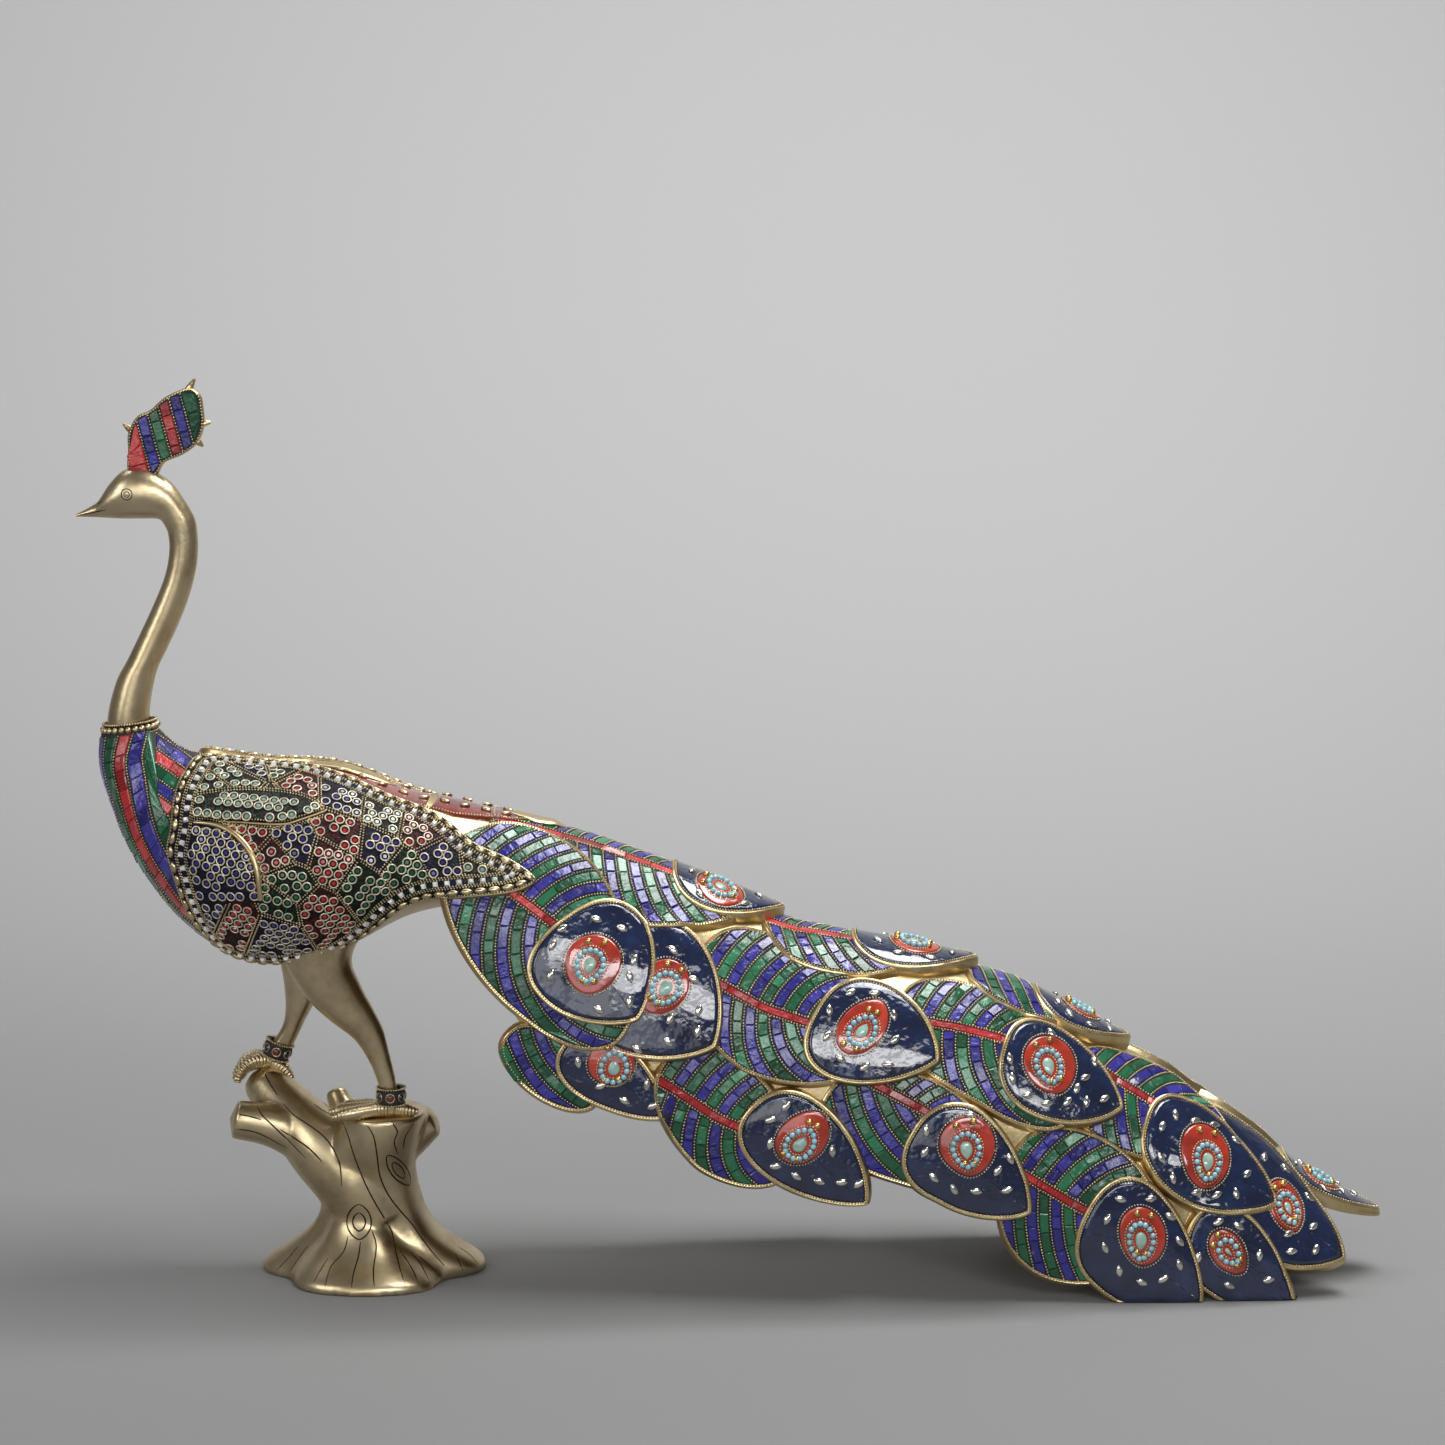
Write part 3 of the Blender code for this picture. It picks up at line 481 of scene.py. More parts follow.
def noise(nodes, links, source, scale, detail=3.0, rough=0.5):
    made = add(nodes, "ShaderNodeTexNoise", Scale=scale, Detail=detail, Roughness=rough)
    links.new(source, made.inputs["Vector"])
    return made


def bumped(nodes, links, shader, height, strength, distance):
    bump = add(nodes, "ShaderNodeBump", Strength=strength, Distance=distance)
    links.new(height, bump.inputs["Height"])
    links.new(bump.outputs["Normal"], shader.inputs["Normal"])
    return bump


def brass(name, colour, dark, rough, hollow_shade=0.5, dents=0.25):
    """Satin cast brass: cloudy, with painted shade that darkens the hollows, and faint file marks."""
    made, nodes, links, shader = new_material(name)
    place = add(nodes, "ShaderNodeTexCoord").outputs["Object"]
    cloud = noise(nodes, links, place, 26.0, 5.0, 0.6)
    tint = ramp(nodes, [(0.30, blended(colour, dark, 0.45)), (0.50, colour),
                        (0.72, blended(colour, (0.75, 0.66, 0.46), 0.45))])
    links.new(cloud.outputs["Fac"], tint.inputs["Fac"])
    # Painted shade: concave spots, found by pointiness, are mixed towards a darker brass
    form = add(nodes, "ShaderNodeNewGeometry").outputs["Pointiness"]
    hollow = ramp(nodes, [(0.44, (1, 1, 1)), (0.495, (0, 0, 0))])
    links.new(form, hollow.inputs["Fac"])
    amount = add(nodes, "ShaderNodeMath", operation="MULTIPLY")
    amount.inputs[1].default_value = hollow_shade
    links.new(hollow.outputs["Color"], amount.inputs[0])
    mix = add(nodes, "ShaderNodeMix", data_type="RGBA")
    links.new(amount.outputs["Value"], mix.inputs["Factor"])
    links.new(tint.outputs["Color"], mix.inputs["A"])
    mix.inputs["B"].default_value = (*scaled(dark, 0.6), 1)
    links.new(mix.outputs["Result"], shader.inputs["Base Color"])
    shader.inputs["Metallic"].default_value = 1.0
    fine = noise(nodes, links, place, 210.0, 4.0, 0.65)
    polish = add(nodes, "ShaderNodeMapRange")
    polish.inputs["To Min"].default_value = rough - 0.07
    polish.inputs["To Max"].default_value = rough + 0.12
    links.new(fine.outputs["Fac"], polish.inputs["Value"])
    links.new(polish.outputs["Result"], shader.inputs["Roughness"])
    wide = noise(nodes, links, place, 60.0, 3.0, 0.5)
    both = add(nodes, "ShaderNodeMath", operation="ADD")
    links.new(wide.outputs["Fac"], both.inputs[0])
    links.new(fine.outputs["Fac"], both.inputs[1])
    bumped(nodes, links, shader, both.outputs["Value"], dents, 0.0006)
    return made


def beaded(name, colour, rough=0.28, metallic=1.0):
    """Small metal beads with a cloudy tone."""
    made, nodes, links, shader = new_material(name)
    place = add(nodes, "ShaderNodeTexCoord").outputs["Object"]
    cloud = noise(nodes, links, place, 90.0, 3.0)
    tint = ramp(nodes, [(0.30, scaled(colour, 0.62)), (0.55, colour), (0.75, scaled(colour, 1.2))])
    links.new(cloud.outputs["Fac"], tint.inputs["Fac"])
    links.new(tint.outputs["Color"], shader.inputs["Base Color"])
    shader.inputs["Metallic"].default_value = metallic
    shader.inputs["Roughness"].default_value = rough
    bumped(nodes, links, shader, cloud.outputs["Fac"], 0.15, 0.0003)
    return made


def stone(name, dark, light, veins, pale):
    """Polished inlay: every tile has its own tone, with veins along it and random pale patches of painted
    glare.
    """
    made, nodes, links, shader = new_material(name)
    tone = add(nodes, "ShaderNodeAttribute", attribute_name="tone").outputs["Fac"]
    plan = add(nodes, "ShaderNodeUVMap", uv_map="plan").outputs["UV"]
    place = add(nodes, "ShaderNodeTexCoord").outputs["Object"]
    band = add(nodes, "ShaderNodeTexWave", Scale=veins, Distortion=7.0, Detail=3.0)
    links.new(plan, band.inputs["Vector"])
    grain = noise(nodes, links, place, 420.0, 4.0, 0.65)
    first = add(nodes, "ShaderNodeMath", operation="MULTIPLY_ADD")
    links.new(band.outputs["Fac"], first.inputs[0])
    first.inputs[1].default_value = 0.34
    links.new(tone, first.inputs[2])
    second = add(nodes, "ShaderNodeMath", operation="MULTIPLY_ADD")
    links.new(grain.outputs["Fac"], second.inputs[0])
    second.inputs[1].default_value = 0.38
    links.new(first.outputs["Value"], second.inputs[2])
    tint = ramp(nodes, [(0.15, scaled(dark, 0.45)), (0.55, dark), (0.95, light), (1.0, pale)])
    tint.color_ramp.elements[3].position = 1.0
    half = add(nodes, "ShaderNodeMath", operation="MULTIPLY")
    half.inputs[1].default_value = 0.62
    links.new(second.outputs["Value"], half.inputs[0])
    links.new(half.outputs["Value"], tint.inputs["Fac"])
    # Painted highlight: random pale patches stand in for glare on the polished stones; the pale colour is
    # also the stone's own lightest tone
    glare_noise = noise(nodes, links, place, 75.0, 6.0, 0.72)
    glare_share = ramp(nodes, [(0.60, (0, 0, 0)), (0.78, (0.55, 0.55, 0.55))])
    links.new(glare_noise.outputs["Fac"], glare_share.inputs["Fac"])
    mix = add(nodes, "ShaderNodeMix", data_type="RGBA")
    links.new(glare_share.outputs["Color"], mix.inputs["Factor"])
    links.new(tint.outputs["Color"], mix.inputs["A"])
    mix.inputs["B"].default_value = (*pale, 1)
    links.new(mix.outputs["Result"], shader.inputs["Base Color"])
    shader.inputs["Roughness"].default_value = 0.22
    shader.inputs["Coat Weight"].default_value = 0.35
    shader.inputs["Coat Roughness"].default_value = 0.10
    uneven = noise(nodes, links, place, 190.0, 3.0)
    bumped(nodes, links, shader, uneven.outputs["Fac"], 0.8, 0.0013)
    return made


def enamel(name, colour, light, waves=70.0, height=0.0030, strength=0.8):
    """Poured glossy enamel with an uneven face."""
    made, nodes, links, shader = new_material(name)
    place = add(nodes, "ShaderNodeTexCoord").outputs["Object"]
    cloud = noise(nodes, links, place, 45.0, 4.0)
    tint = ramp(nodes, [(0.30, scaled(colour, 0.55)), (0.55, colour), (0.80, light)])
    links.new(cloud.outputs["Fac"], tint.inputs["Fac"])
    links.new(tint.outputs["Color"], shader.inputs["Base Color"])
    shader.inputs["Roughness"].default_value = 0.16
    shader.inputs["Coat Weight"].default_value = 1.0
    shader.inputs["Coat Roughness"].default_value = 0.04
    flow = noise(nodes, links, place, waves, 2.5, 0.5)
    bumped(nodes, links, shader, flow.outputs["Fac"], strength, height)
    return made


def plain_gloss(name, colour, rough=0.15):
    made, nodes, links, shader = new_material(name)
    place = add(nodes, "ShaderNodeTexCoord").outputs["Object"]
    cloud = noise(nodes, links, place, 160.0, 3.0)
    tint = ramp(nodes, [(0.30, scaled(colour, 0.7)), (0.70, scaled(colour, 1.15))])
    links.new(cloud.outputs["Fac"], tint.inputs["Fac"])
    links.new(tint.outputs["Color"], shader.inputs["Base Color"])
    shader.inputs["Roughness"].default_value = rough
    shader.inputs["Coat Weight"].default_value = 0.8
    shader.inputs["Coat Roughness"].default_value = 0.06
    bumped(nodes, links, shader, cloud.outputs["Fac"], 0.25, 0.0004)
    return made


def grout():
    """The black setting between stones, with crumbs in it."""
    made, nodes, links, shader = new_material("black setting")
    place = add(nodes, "ShaderNodeTexCoord").outputs["Object"]
    crumb = noise(nodes, links, place, 700.0, 3.0, 0.7)
    tint = ramp(nodes, [(0.35, (0.006, 0.006, 0.006)), (0.62, (0.022, 0.020, 0.018)),
                        (0.80, (0.090, 0.078, 0.055))])
    links.new(crumb.outputs["Fac"], tint.inputs["Fac"])
    links.new(tint.outputs["Color"], shader.inputs["Base Color"])
    shader.inputs["Roughness"].default_value = 0.6
    bumped(nodes, links, shader, crumb.outputs["Fac"], 0.6, 0.0010)
    return made


def chip_ground():
    """Crushed stone round the wing's rings: its colour is painted on the mesh by patches."""
    made, nodes, links, shader = new_material("crushed stone")
    place = add(nodes, "ShaderNodeTexCoord").outputs["Object"]
    patch = add(nodes, "ShaderNodeAttribute", attribute_name="patch")
    cell = add(nodes, "ShaderNodeTexVoronoi", Scale=520.0)
    links.new(place, cell.inputs["Vector"])
    shade = ramp(nodes, [(0.0, (0.75, 0.75, 0.75)), (0.35, (0.28, 0.28, 0.28)),
                         (0.60, (0.02, 0.02, 0.02))])
    links.new(cell.outputs["Distance"], shade.inputs["Fac"])
    cloud = noise(nodes, links, place, 240.0, 3.0)
    gate = ramp(nodes, [(0.42, (0.10, 0.10, 0.10)), (0.62, (1, 1, 1))])
    links.new(cloud.outputs["Fac"], gate.inputs["Fac"])
    first = add(nodes, "ShaderNodeMix", data_type="RGBA", blend_type="MULTIPLY")
    first.inputs["Factor"].default_value = 1.0
    links.new(patch.outputs["Color"], first.inputs["A"])
    links.new(shade.outputs["Color"], first.inputs["B"])
    second = add(nodes, "ShaderNodeMix", data_type="RGBA", blend_type="MULTIPLY")
    second.inputs["Factor"].default_value = 1.0
    links.new(first.outputs["Result"], second.inputs["A"])
    links.new(gate.outputs["Color"], second.inputs["B"])
    links.new(second.outputs["Result"], shader.inputs["Base Color"])
    shader.inputs["Roughness"].default_value = 0.55
    shader.inputs["Specular IOR Level"].default_value = 0.25
    bumped(nodes, links, shader, cell.outputs["Distance"], 0.7, 0.0012)
    return made


def engraved():
    """The dark bottom of an engraved line."""
    made, nodes, links, shader = new_material("engraved line")
    place = add(nodes, "ShaderNodeTexCoord").outputs["Object"]
    crumb = noise(nodes, links, place, 300.0)
    tint = ramp(nodes, [(0.35, (0.012, 0.008, 0.004)), (0.75, (0.060, 0.040, 0.020))])
    links.new(crumb.outputs["Fac"], tint.inputs["Fac"])
    links.new(tint.outputs["Color"], shader.inputs["Base Color"])
    shader.inputs["Metallic"].default_value = 0.6
    shader.inputs["Roughness"].default_value = 0.55
    return made


def finishes():
    """Every material, made once."""
    if not MADE:
        m, n = metal(), inlay()
        MADE.update({
            "brass": brass("satin brass", tuple(m.brass), tuple(m.dark_brass), m.roughness),
            # The feather brass gets more painted shade in its hollows
            "lip": brass("feather brass", blended(tuple(m.brass), (0.70, 0.52, 0.22), 0.35),
                         tuple(m.dark_brass), m.roughness - 0.02, 0.7, 0.35),
            "wire": beaded("bead wire", tuple(m.wire)),
            "ring": beaded("ring wire", (0.78, 0.71, 0.55), 0.36, 0.7),
            "silver": beaded("pale studs", tuple(m.silver), 0.18),
            "gold": beaded("gold balls", tuple(m.gold), 0.25),
            # The last colour of each stone is its pale tone, which also paints its glare patches; the lapis
            # one is a painted lavender glare
            "blue": stone("lapis", tuple(n.lapis), (0.075, 0.062, 0.400), 3.0, (0.46, 0.43, 0.66)),
            "green": stone("malachite", tuple(n.malachite), (0.055, 0.330, 0.160), 9.0,
                           (0.42, 0.60, 0.52)),
            "red": stone("coral", tuple(n.coral), (0.68, 0.060, 0.060), 2.0, (0.80, 0.42, 0.42)),
            "navy": enamel("navy enamel", tuple(n.navy), (0.009, 0.028, 0.100)),
            "orange": enamel("orange enamel", tuple(n.orange), (0.52, 0.06, 0.03), 120.0, 0.0015,
                             0.4),
            "back red": enamel("back enamel", (0.19, 0.016, 0.010), (0.30, 0.03, 0.02), 120.0,
                               0.0015, 0.5),
            "turquoise": plain_gloss("turquoise", tuple(n.turquoise)),
            "pale green": plain_gloss("pale green stone", (0.33, 0.50, 0.42)),
            "crystal": plain_gloss("crystal", (0.80, 0.80, 0.78), 0.06),
            "blue gem": plain_gloss("blue gem", (0.030, 0.026, 0.15)),
            "green gem": plain_gloss("green gem", (0.014, 0.09, 0.042)),
            "red gem": plain_gloss("red gem", (0.34, 0.022, 0.026)),
            "garnet": plain_gloss("garnet", (0.120, 0.016, 0.010)),
            "onyx": plain_gloss("onyx", (0.010, 0.011, 0.045)),
            "pale gem": plain_gloss("pale gem", (0.24, 0.34, 0.28)),
            "grout": grout(),
            "chips": chip_ground(),
            "dark line": engraved(),
        })
    return MADE


MADE = {}


# Inlay: rows of tiles and wires of beads on a skin

def wire(skin, u, v, lift, keep=None, closed=False):
    """Middles of the beads along a line on a skin."""
    u, v = np.asarray(u, float), np.asarray(v, float)
    if closed:
        u, v = np.append(u, u[0]), np.append(v, v[0])
    height = lift(u, v) if callable(lift) else lift
    line = skin.at(u, v, height)
    good = ~np.isnan(line).any(axis=1)
    if good.sum() < 2:
        return np.zeros((0, 3))
    line, u, v = line[good], u[good], v[good]
    reach = np.concatenate([[0], np.cumsum(np.linalg.norm(np.diff(line, axis=0), axis=1))])
    count = int(reach[-1] / inlay().bead_step)
    if count < 1:
        return np.zeros((0, 3))
    stops = np.linspace(0, reach[-1], count + 1)[:-1 if closed else None]
    at_u, at_v = np.interp(stops, reach, u), np.interp(stops, reach, v)
    beads = np.stack([np.interp(stops, reach, line[:, k]) for k in range(3)], 1)
    return beads if keep is None else beads[keep(at_u, at_v)]


def beads_at(centres, radius=None):
    radius = radius or inlay().bead
    corners, faces = ball()
    centres = np.concatenate([c for c in centres if len(c)])
    return repeated((corners * radius, faces), centres[centres[:, 2] > radius + 0.0002])


class Rows:
    """Rows of tiles that follow a family of lines: place(s, t) gives skin coordinates."""

    def __init__(self, skin, place, steps, inside, seed):
        self.skin, self.place, self.steps, self.inside = skin, place, steps, inside
        self.rng = np.random.default_rng(seed)
        self.unit = tile_unit()

    def reach(self, t):
        """Where along a line it is inside the region, or None."""
        u, v = self.place(self.steps, np.full(len(self.steps), t))
        run = longest_run(self.inside(u, v))
        if run is None or run[1] - run[0] < 2:
            return None
        return self.steps[run[0]], self.steps[run[1]]

    def tiles(self, start, end, lift, keep=None, gap=0.0004, sizes=(0.010, 0.021)):
        """The tiles of the row between two lines."""
        ts = np.linspace(start + gap, end - gap, 5)
        ends = [(t, self.reach(t)) for t in ts]
        ends = [(t, *r) for t, r in ends if r]
        if len(ends) < 2:
            return []
        known, low, high = np.array(ends).T
        middle = known[len(known) // 2]
        lo, hi = low.min(), high.max()
        line = np.linspace(lo, hi, 60)
        u, v = self.place(line, np.full(60, middle))
        path = self.skin.at(u, v, 0.0)
        if np.isnan(path).any():
            return []
        along = np.concatenate([[0], np.cumsum(np.linalg.norm(np.diff(path, axis=0), axis=1))])
        cuts = [0.0]
        while cuts[-1] < along[-1] - sizes[0] * 0.6:
            cuts.append(cuts[-1] + self.rng.uniform(*sizes))
        cuts[-1] = along[-1]
        corners, faces = self.unit
        made = []
        for near, far in zip(cuts[:-1], cuts[1:]):
            if far - near < 0.002:
                continue
            slack = 0.00025
            a, b = np.interp((near + slack, far - slack), along, line)
            s = a + corners[:, 0] * (b - a)
            t = start + gap + corners[:, 1] * (end - start - 2 * gap)
            s = np.clip(s, np.interp(t, known, low), np.interp(t, known, high))
            if np.ptp(s[corners[:, 1] == 0]) + np.ptp(s[corners[:, 1] == 1]) < 0.3 * (b - a) + 1e-9:
                continue
            u, v = self.place(s, t)
            if keep is not None and not keep(u, v).any():
                continue
            height = lift(u, v) if callable(lift) else lift
            lean = self.rng.normal(0, 0.0004, 2)
            spots = self.skin.at(u, v, height + corners[:, 2] * (
                inlay().tile + (corners[:, :2] - 0.5) @ lean + self.rng.uniform(-0.0001, 0.0002)))
            if np.isnan(spots).any() or spots[:, 2].min() < 0.0008:
                continue
            shift = self.rng.uniform(0, 1, 2)
            plan = np.stack([corners[:, 0] * (far - near) / 0.02, corners[:, 1] * 0.5], 1) + shift
            made.append({"corners": spots, "faces": faces, "plan": plan,
                         "tone": np.full(len(corners), self.rng.uniform(0.0, 0.80))})
        return [outward(part) for part in made]

    def edge(self, t, lift, keep=None):
        """The bead wire along one line."""
        run = self.reach(t)
        if run is None:
            return np.zeros((0, 3))
        s = np.linspace(run[0], run[1], 90)
        u, v = self.place(s, np.full(90, t))
        return wire(self.skin, u, v, lift, keep)


def outward(part):
    """Turns a closed part's faces outwards."""
    corners, faces = part["corners"], part["faces"]
    middle = corners.mean(0)
    a, b, c = (corners[faces[:, k]] - middle for k in range(3))
    if (a * np.cross(b, c)).sum() < 0:
        part = dict(part, faces=faces[:, ::-1])
    return part


def set_on(shape, skin, u, v, turn, sizes, lift):
    """A small shape set on a skin at each spot, turned in the skin's own directions."""
    u, v, turn = (np.atleast_1d(np.asarray(x, float)) for x in (u, v, turn))
    spots = skin.at(u, v, lift)
    step = 0.0015
    ahead = skin.at(u + step * np.cos(turn) * AHEAD_SCALE[id(skin)][0],
                    v + step * np.sin(turn) * AHEAD_SCALE[id(skin)][1], lift) - spots
    normals = skin.normal(u, v)
    ahead -= (ahead * normals).sum(1, keepdims=True) * normals
    good = ~(np.isnan(ahead).any(axis=1) | (np.linalg.norm(ahead, axis=1) < 1e-7))
    spots, ahead, normals = spots[good], ahead[good], normals[good]
    ahead /= np.linalg.norm(ahead, axis=1, keepdims=True)
    across = np.cross(normals, ahead)
    x, y, z = sizes
    return repeated(shape, spots, ahead * x, across * y, normals * z)


AHEAD_SCALE = {}


# Train

TRAIN_ROOT = (0.0565, 0.432)
TRAIN_SLOPE = math.radians(23.5)
TRAIN_LENGTH = 0.850
TRAIN_HALF_WIDTH = 0.104
TRAIN_WALL = 0.007
TRAIN_FOOT = 0.0007
RIDGE_RISE = [(0.00, 0.000), (0.15, 0.018), (0.25, 0.022), (0.34, 0.019), (0.42, 0.033),
              (0.50, 0.046), (0.54, 0.049), (0.60, 0.041), (0.65, 0.035), (0.70, 0.031),
              (0.75, 0.018), (0.80, 0.006), (0.85, -0.012), (1.00, -0.030)]
SIDE_HEIGHT = [(0.00, 0.100), (0.10, 0.150), (0.18, 0.185), (0.30, 0.195), (0.42, 0.200),
               (0.54, 0.180), (0.66, 0.168), (0.76, 0.140), (0.85, 0.085), (1.00, 0.060)]
SPREAD = [(0.00, 0.82), (0.15, 0.93), (0.35, 1.00), (0.60, 1.00), (0.80, 0.90), (1.00, 0.72)]
SHEET_REACH = [(0.00, 0.085), (0.05, 0.112), (0.09, 0.148), (0.13, 0.176), (0.20, 0.222),
               (0.28, 0.222), (0.36, 0.240), (0.42, 0.245), (0.50, 0.210), (0.58, 0.215),
               (0.66, 0.235), (0.78, 0.190), (0.85, 0.110)]

# Feathers from the bottom of the pile to the top. Each leaf: kind, middle along the train and
# down its side, half length, half width, turn in degrees (downwards positive).
LEAVES = [
    ("F15", "panel", 0.872, 0.000, 0.054, 0.034, 0), ("F14", "panel", 0.806, 0.074, 0.090, 0.056, 6),
    ("F13", "panel", 0.812, 0.138, 0.058, 0.038, 0), ("F11", "vane", 0.686, 0.064, 0.080, 0.050, -8),
    ("F12", "vane", 0.660, 0.176, 0.074, 0.066, -12), ("F12", "panel", 0.728, 0.180, 0.064, 0.052, 4),
    ("F11", "panel", 0.752, 0.080, 0.068, 0.044, -2), ("F9", "vane", 0.499, 0.180, 0.084, 0.048, 8),
    ("F9", "panel", 0.558, 0.190, 0.062, 0.044, 8), ("F8", "vane", 0.533, 0.090, 0.092, 0.050, 16),
    ("F8", "panel", 0.602, 0.084, 0.060, 0.043, -2), ("F10", "vane", 0.550, 0.000, 0.056, 0.050, 0),
    ("F10", "panel", 0.606, 0.000, 0.050, 0.036, 0), ("F4", "vane", 0.189, 0.226, 0.050, 0.027, 20),
    ("F4", "panel", 0.244, 0.213, 0.056, 0.030, 12), ("F5", "vane", 0.346, 0.210, 0.076, 0.046, 30),
    ("F5", "panel", 0.424, 0.220, 0.070, 0.038, 26), ("F6", "vane", 0.355, 0.104, 0.090, 0.062, 18),
    ("F6", "panel", 0.438, 0.108, 0.059, 0.048, 9), ("F7", "vane", 0.385, 0.000, 0.078, 0.062, 0),
    ("F7", "panel", 0.447, 0.000, 0.057, 0.042, 0), ("F3", "panel", 0.253, 0.135, 0.062, 0.062, 18),
    ("F2", "vane", 0.180, 0.000, 0.126, 0.090, 0), ("F2", "panel", 0.273, 0.000, 0.054, 0.048, 0),
    ("F1", "vane", 0.138, 0.115, 0.117, 0.067, 38), ("F1", "panel", 0.194, 0.130, 0.056, 0.056, 32),
]
POINTED = {"vane": 0.25, "panel": 0.68}
LIFTS = {"vane": (0.0015, 0.0075), "panel": (0.0070, 0.0120)}
LEAF_CLEARANCE = 0.0020     # a leaf's face above those it covers
LIP = {"vane": 0.0030, "panel": 0.0034}   # from a leaf's edge to its bead wire

# Quill of each vane: from and to, along and down. Then the centres of the arcs that the stripes
# follow, above and below the quill.
QUILLS = {"F1": (0.102, 0.094, 0.136, 0.106), "F2": (0.092, 0.020, 0.246, 0.020),
          "F4": (0.150, 0.180, 0.200, 0.150), "F5": (0.286, 0.200, 0.362, 0.212),
          "F6": (0.288, 0.102, 0.378, 0.110), "F7": (0.332, 0.020, 0.396, 0.014),
          "F8": (0.480, 0.084, 0.546, 0.080), "F9": (0.460, 0.150, 0.498, 0.160),
          "F10": (0.500, -0.014, 0.560, -0.012), "F11": (0.652, 0.058, 0.690, 0.062),
          "F12": (0.620, 0.174, 0.664, 0.174)}
STRIPE_GAP = 0.0011   # from a bead wire's middle to the stones beside it
ARCS = {"F1": ((0.196, 0.124), (0.212, 0.100)), "F2": ((0.290, 0.060), (0.290, -0.010)),
        "F4": ((0.236, 0.142), (0.236, 0.142)), "F5": ((0.410, 0.212), (0.410, 0.206)),
        "F6": ((0.414, 0.106), (0.414, 0.092)), "F7": ((0.470, 0.060), (0.450, -0.020)),
        "F8": ((0.586, 0.092), (0.586, 0.070)), "F9": ((0.546, 0.184), (0.560, 0.085)),
        "F10": ((0.660, 0.060), (0.640, -0.020)), "F11": ((0.770, 0.100), (0.780, 0.030)),
        "F12": ((0.735, 0.190), (0.760, 0.130))}

# Drop of each panel: middle, half length, half width and turn of the pear, then the middle and
# half width of its ring of turquoise.
DROPS = {"F1": (0.186, 0.129, 0.027, 0.023, 80, 0.184, 0.131, 0.0115),
         "F2": (0.266, 0.020, 0.023, 0.019, 10, 0.266, 0.020, 0.0105),
         "F3": (0.250, 0.126, 0.026, 0.020, 100, 0.252, 0.127, 0.0115),
         "F4": (0.234, 0.199, 0.022, 0.019, -110, 0.238, 0.203, 0.0110),
         "F5": (0.412, 0.206, 0.026, 0.020, -75, 0.412, 0.212, 0.0115),
         "F6": (0.424, 0.103, 0.028, 0.019, -75, 0.425, 0.107, 0.0110),
         "F7": (0.447, 0.004, 0.023, 0.018, 10, 0.446, 0.004, 0.0100),
         "F8": (0.587, 0.081, 0.026, 0.023, 50, 0.586, 0.084, 0.0115),
         "F9": (0.546, 0.176, 0.026, 0.023, 60, 0.546, 0.180, 0.0115),
         "F10": (0.604, 0.000, 0.019, 0.014, 10, 0.604, 0.000, 0.0080),
         "F11": (0.744, 0.080, 0.027, 0.023, 75, 0.747, 0.084, 0.0115),
         "F12": (0.718, 0.168, 0.024, 0.021, 70, 0.718, 0.172, 0.0115),
         "F13": (0.794, 0.136, 0.021, 0.014, 10, 0.794, 0.136, 0.0080),
         "F14": (0.828, 0.073, 0.022, 0.017, 40, 0.830, 0.075, 0.0095),
         "F15": (0.862, 0.008, 0.020, 0.013, 0, 0.862, 0.008, 0.0080)}

# Almond studs on each panel, along and down.
STUDS = {
    "F1": [(.150, .110), (.174, .092), (.198, .092), (.148, .126), (.218, .114), (.156, .150),
           (.220, .128), (.174, .172), (.190, .172), (.206, .162), (.228, .148)],
    "F2": [(.238, .010), (.250, .036), (.272, .040), (.290, .026), (.306, .030), (.300, .004)],
    "F3": [(.246, .094), (.272, .110), (.286, .132), (.266, .148), (.292, .148), (.272, .166),
           (.250, .182)],
    "F4": [(.208, .210), (.234, .222), (.258, .226), (.270, .206), (.282, .220)],
    "F5": [(.388, .184), (.380, .198), (.388, .218), (.400, .236), (.420, .240), (.440, .240),
           (.458, .236), (.472, .234), (.440, .212)],
    "F6": [(.392, .096), (.398, .118), (.416, .134), (.438, .136), (.456, .130), (.454, .108),
           (.446, .088), (.424, .072), (.404, .076)],
    "F7": [(.414, .014), (.434, .026), (.462, .024), (.480, .008), (.424, -.022), (.464, -.018)],
    "F8": [(.580, .054), (.552, .094), (.560, .108), (.578, .114), (.596, .112), (.612, .102),
           (.628, .094), (.642, .084), (.616, .088), (.620, .076), (.624, .058), (.606, .050)],
    "F9": [(.508, .176), (.514, .194), (.530, .212), (.550, .214), (.568, .206), (.592, .192),
           (.584, .168), (.574, .152), (.538, .152), (.578, .182)],
    "F10": [(.580, .012), (.592, .022), (.614, .022), (.632, .012), (.632, -.008), (.580, -.012)],
    "F11": [(.700, .080), (.726, .058), (.744, .050), (.708, .064), (.708, .104), (.724, .112),
            (.748, .110), (.766, .102), (.782, .092), (.786, .072), (.790, .056), (.768, .050)],
    "F12": [(.688, .152), (.712, .138), (.734, .140), (.684, .172), (.750, .152), (.758, .168),
            (.750, .186), (.692, .194), (.712, .204), (.734, .200)],
    "F13": [(.776, .120), (.794, .114), (.820, .122), (.836, .132), (.772, .154), (.806, .158)],
    "F14": [(.798, .046), (.820, .040), (.858, .074), (.846, .102), (.866, .090), (.838, .092),
            (.848, .050)],
    "F15": [(.834, .010), (.846, -.014), (.866, .024), (.884, .010), (.898, -.002), (.884, -.014)],
}


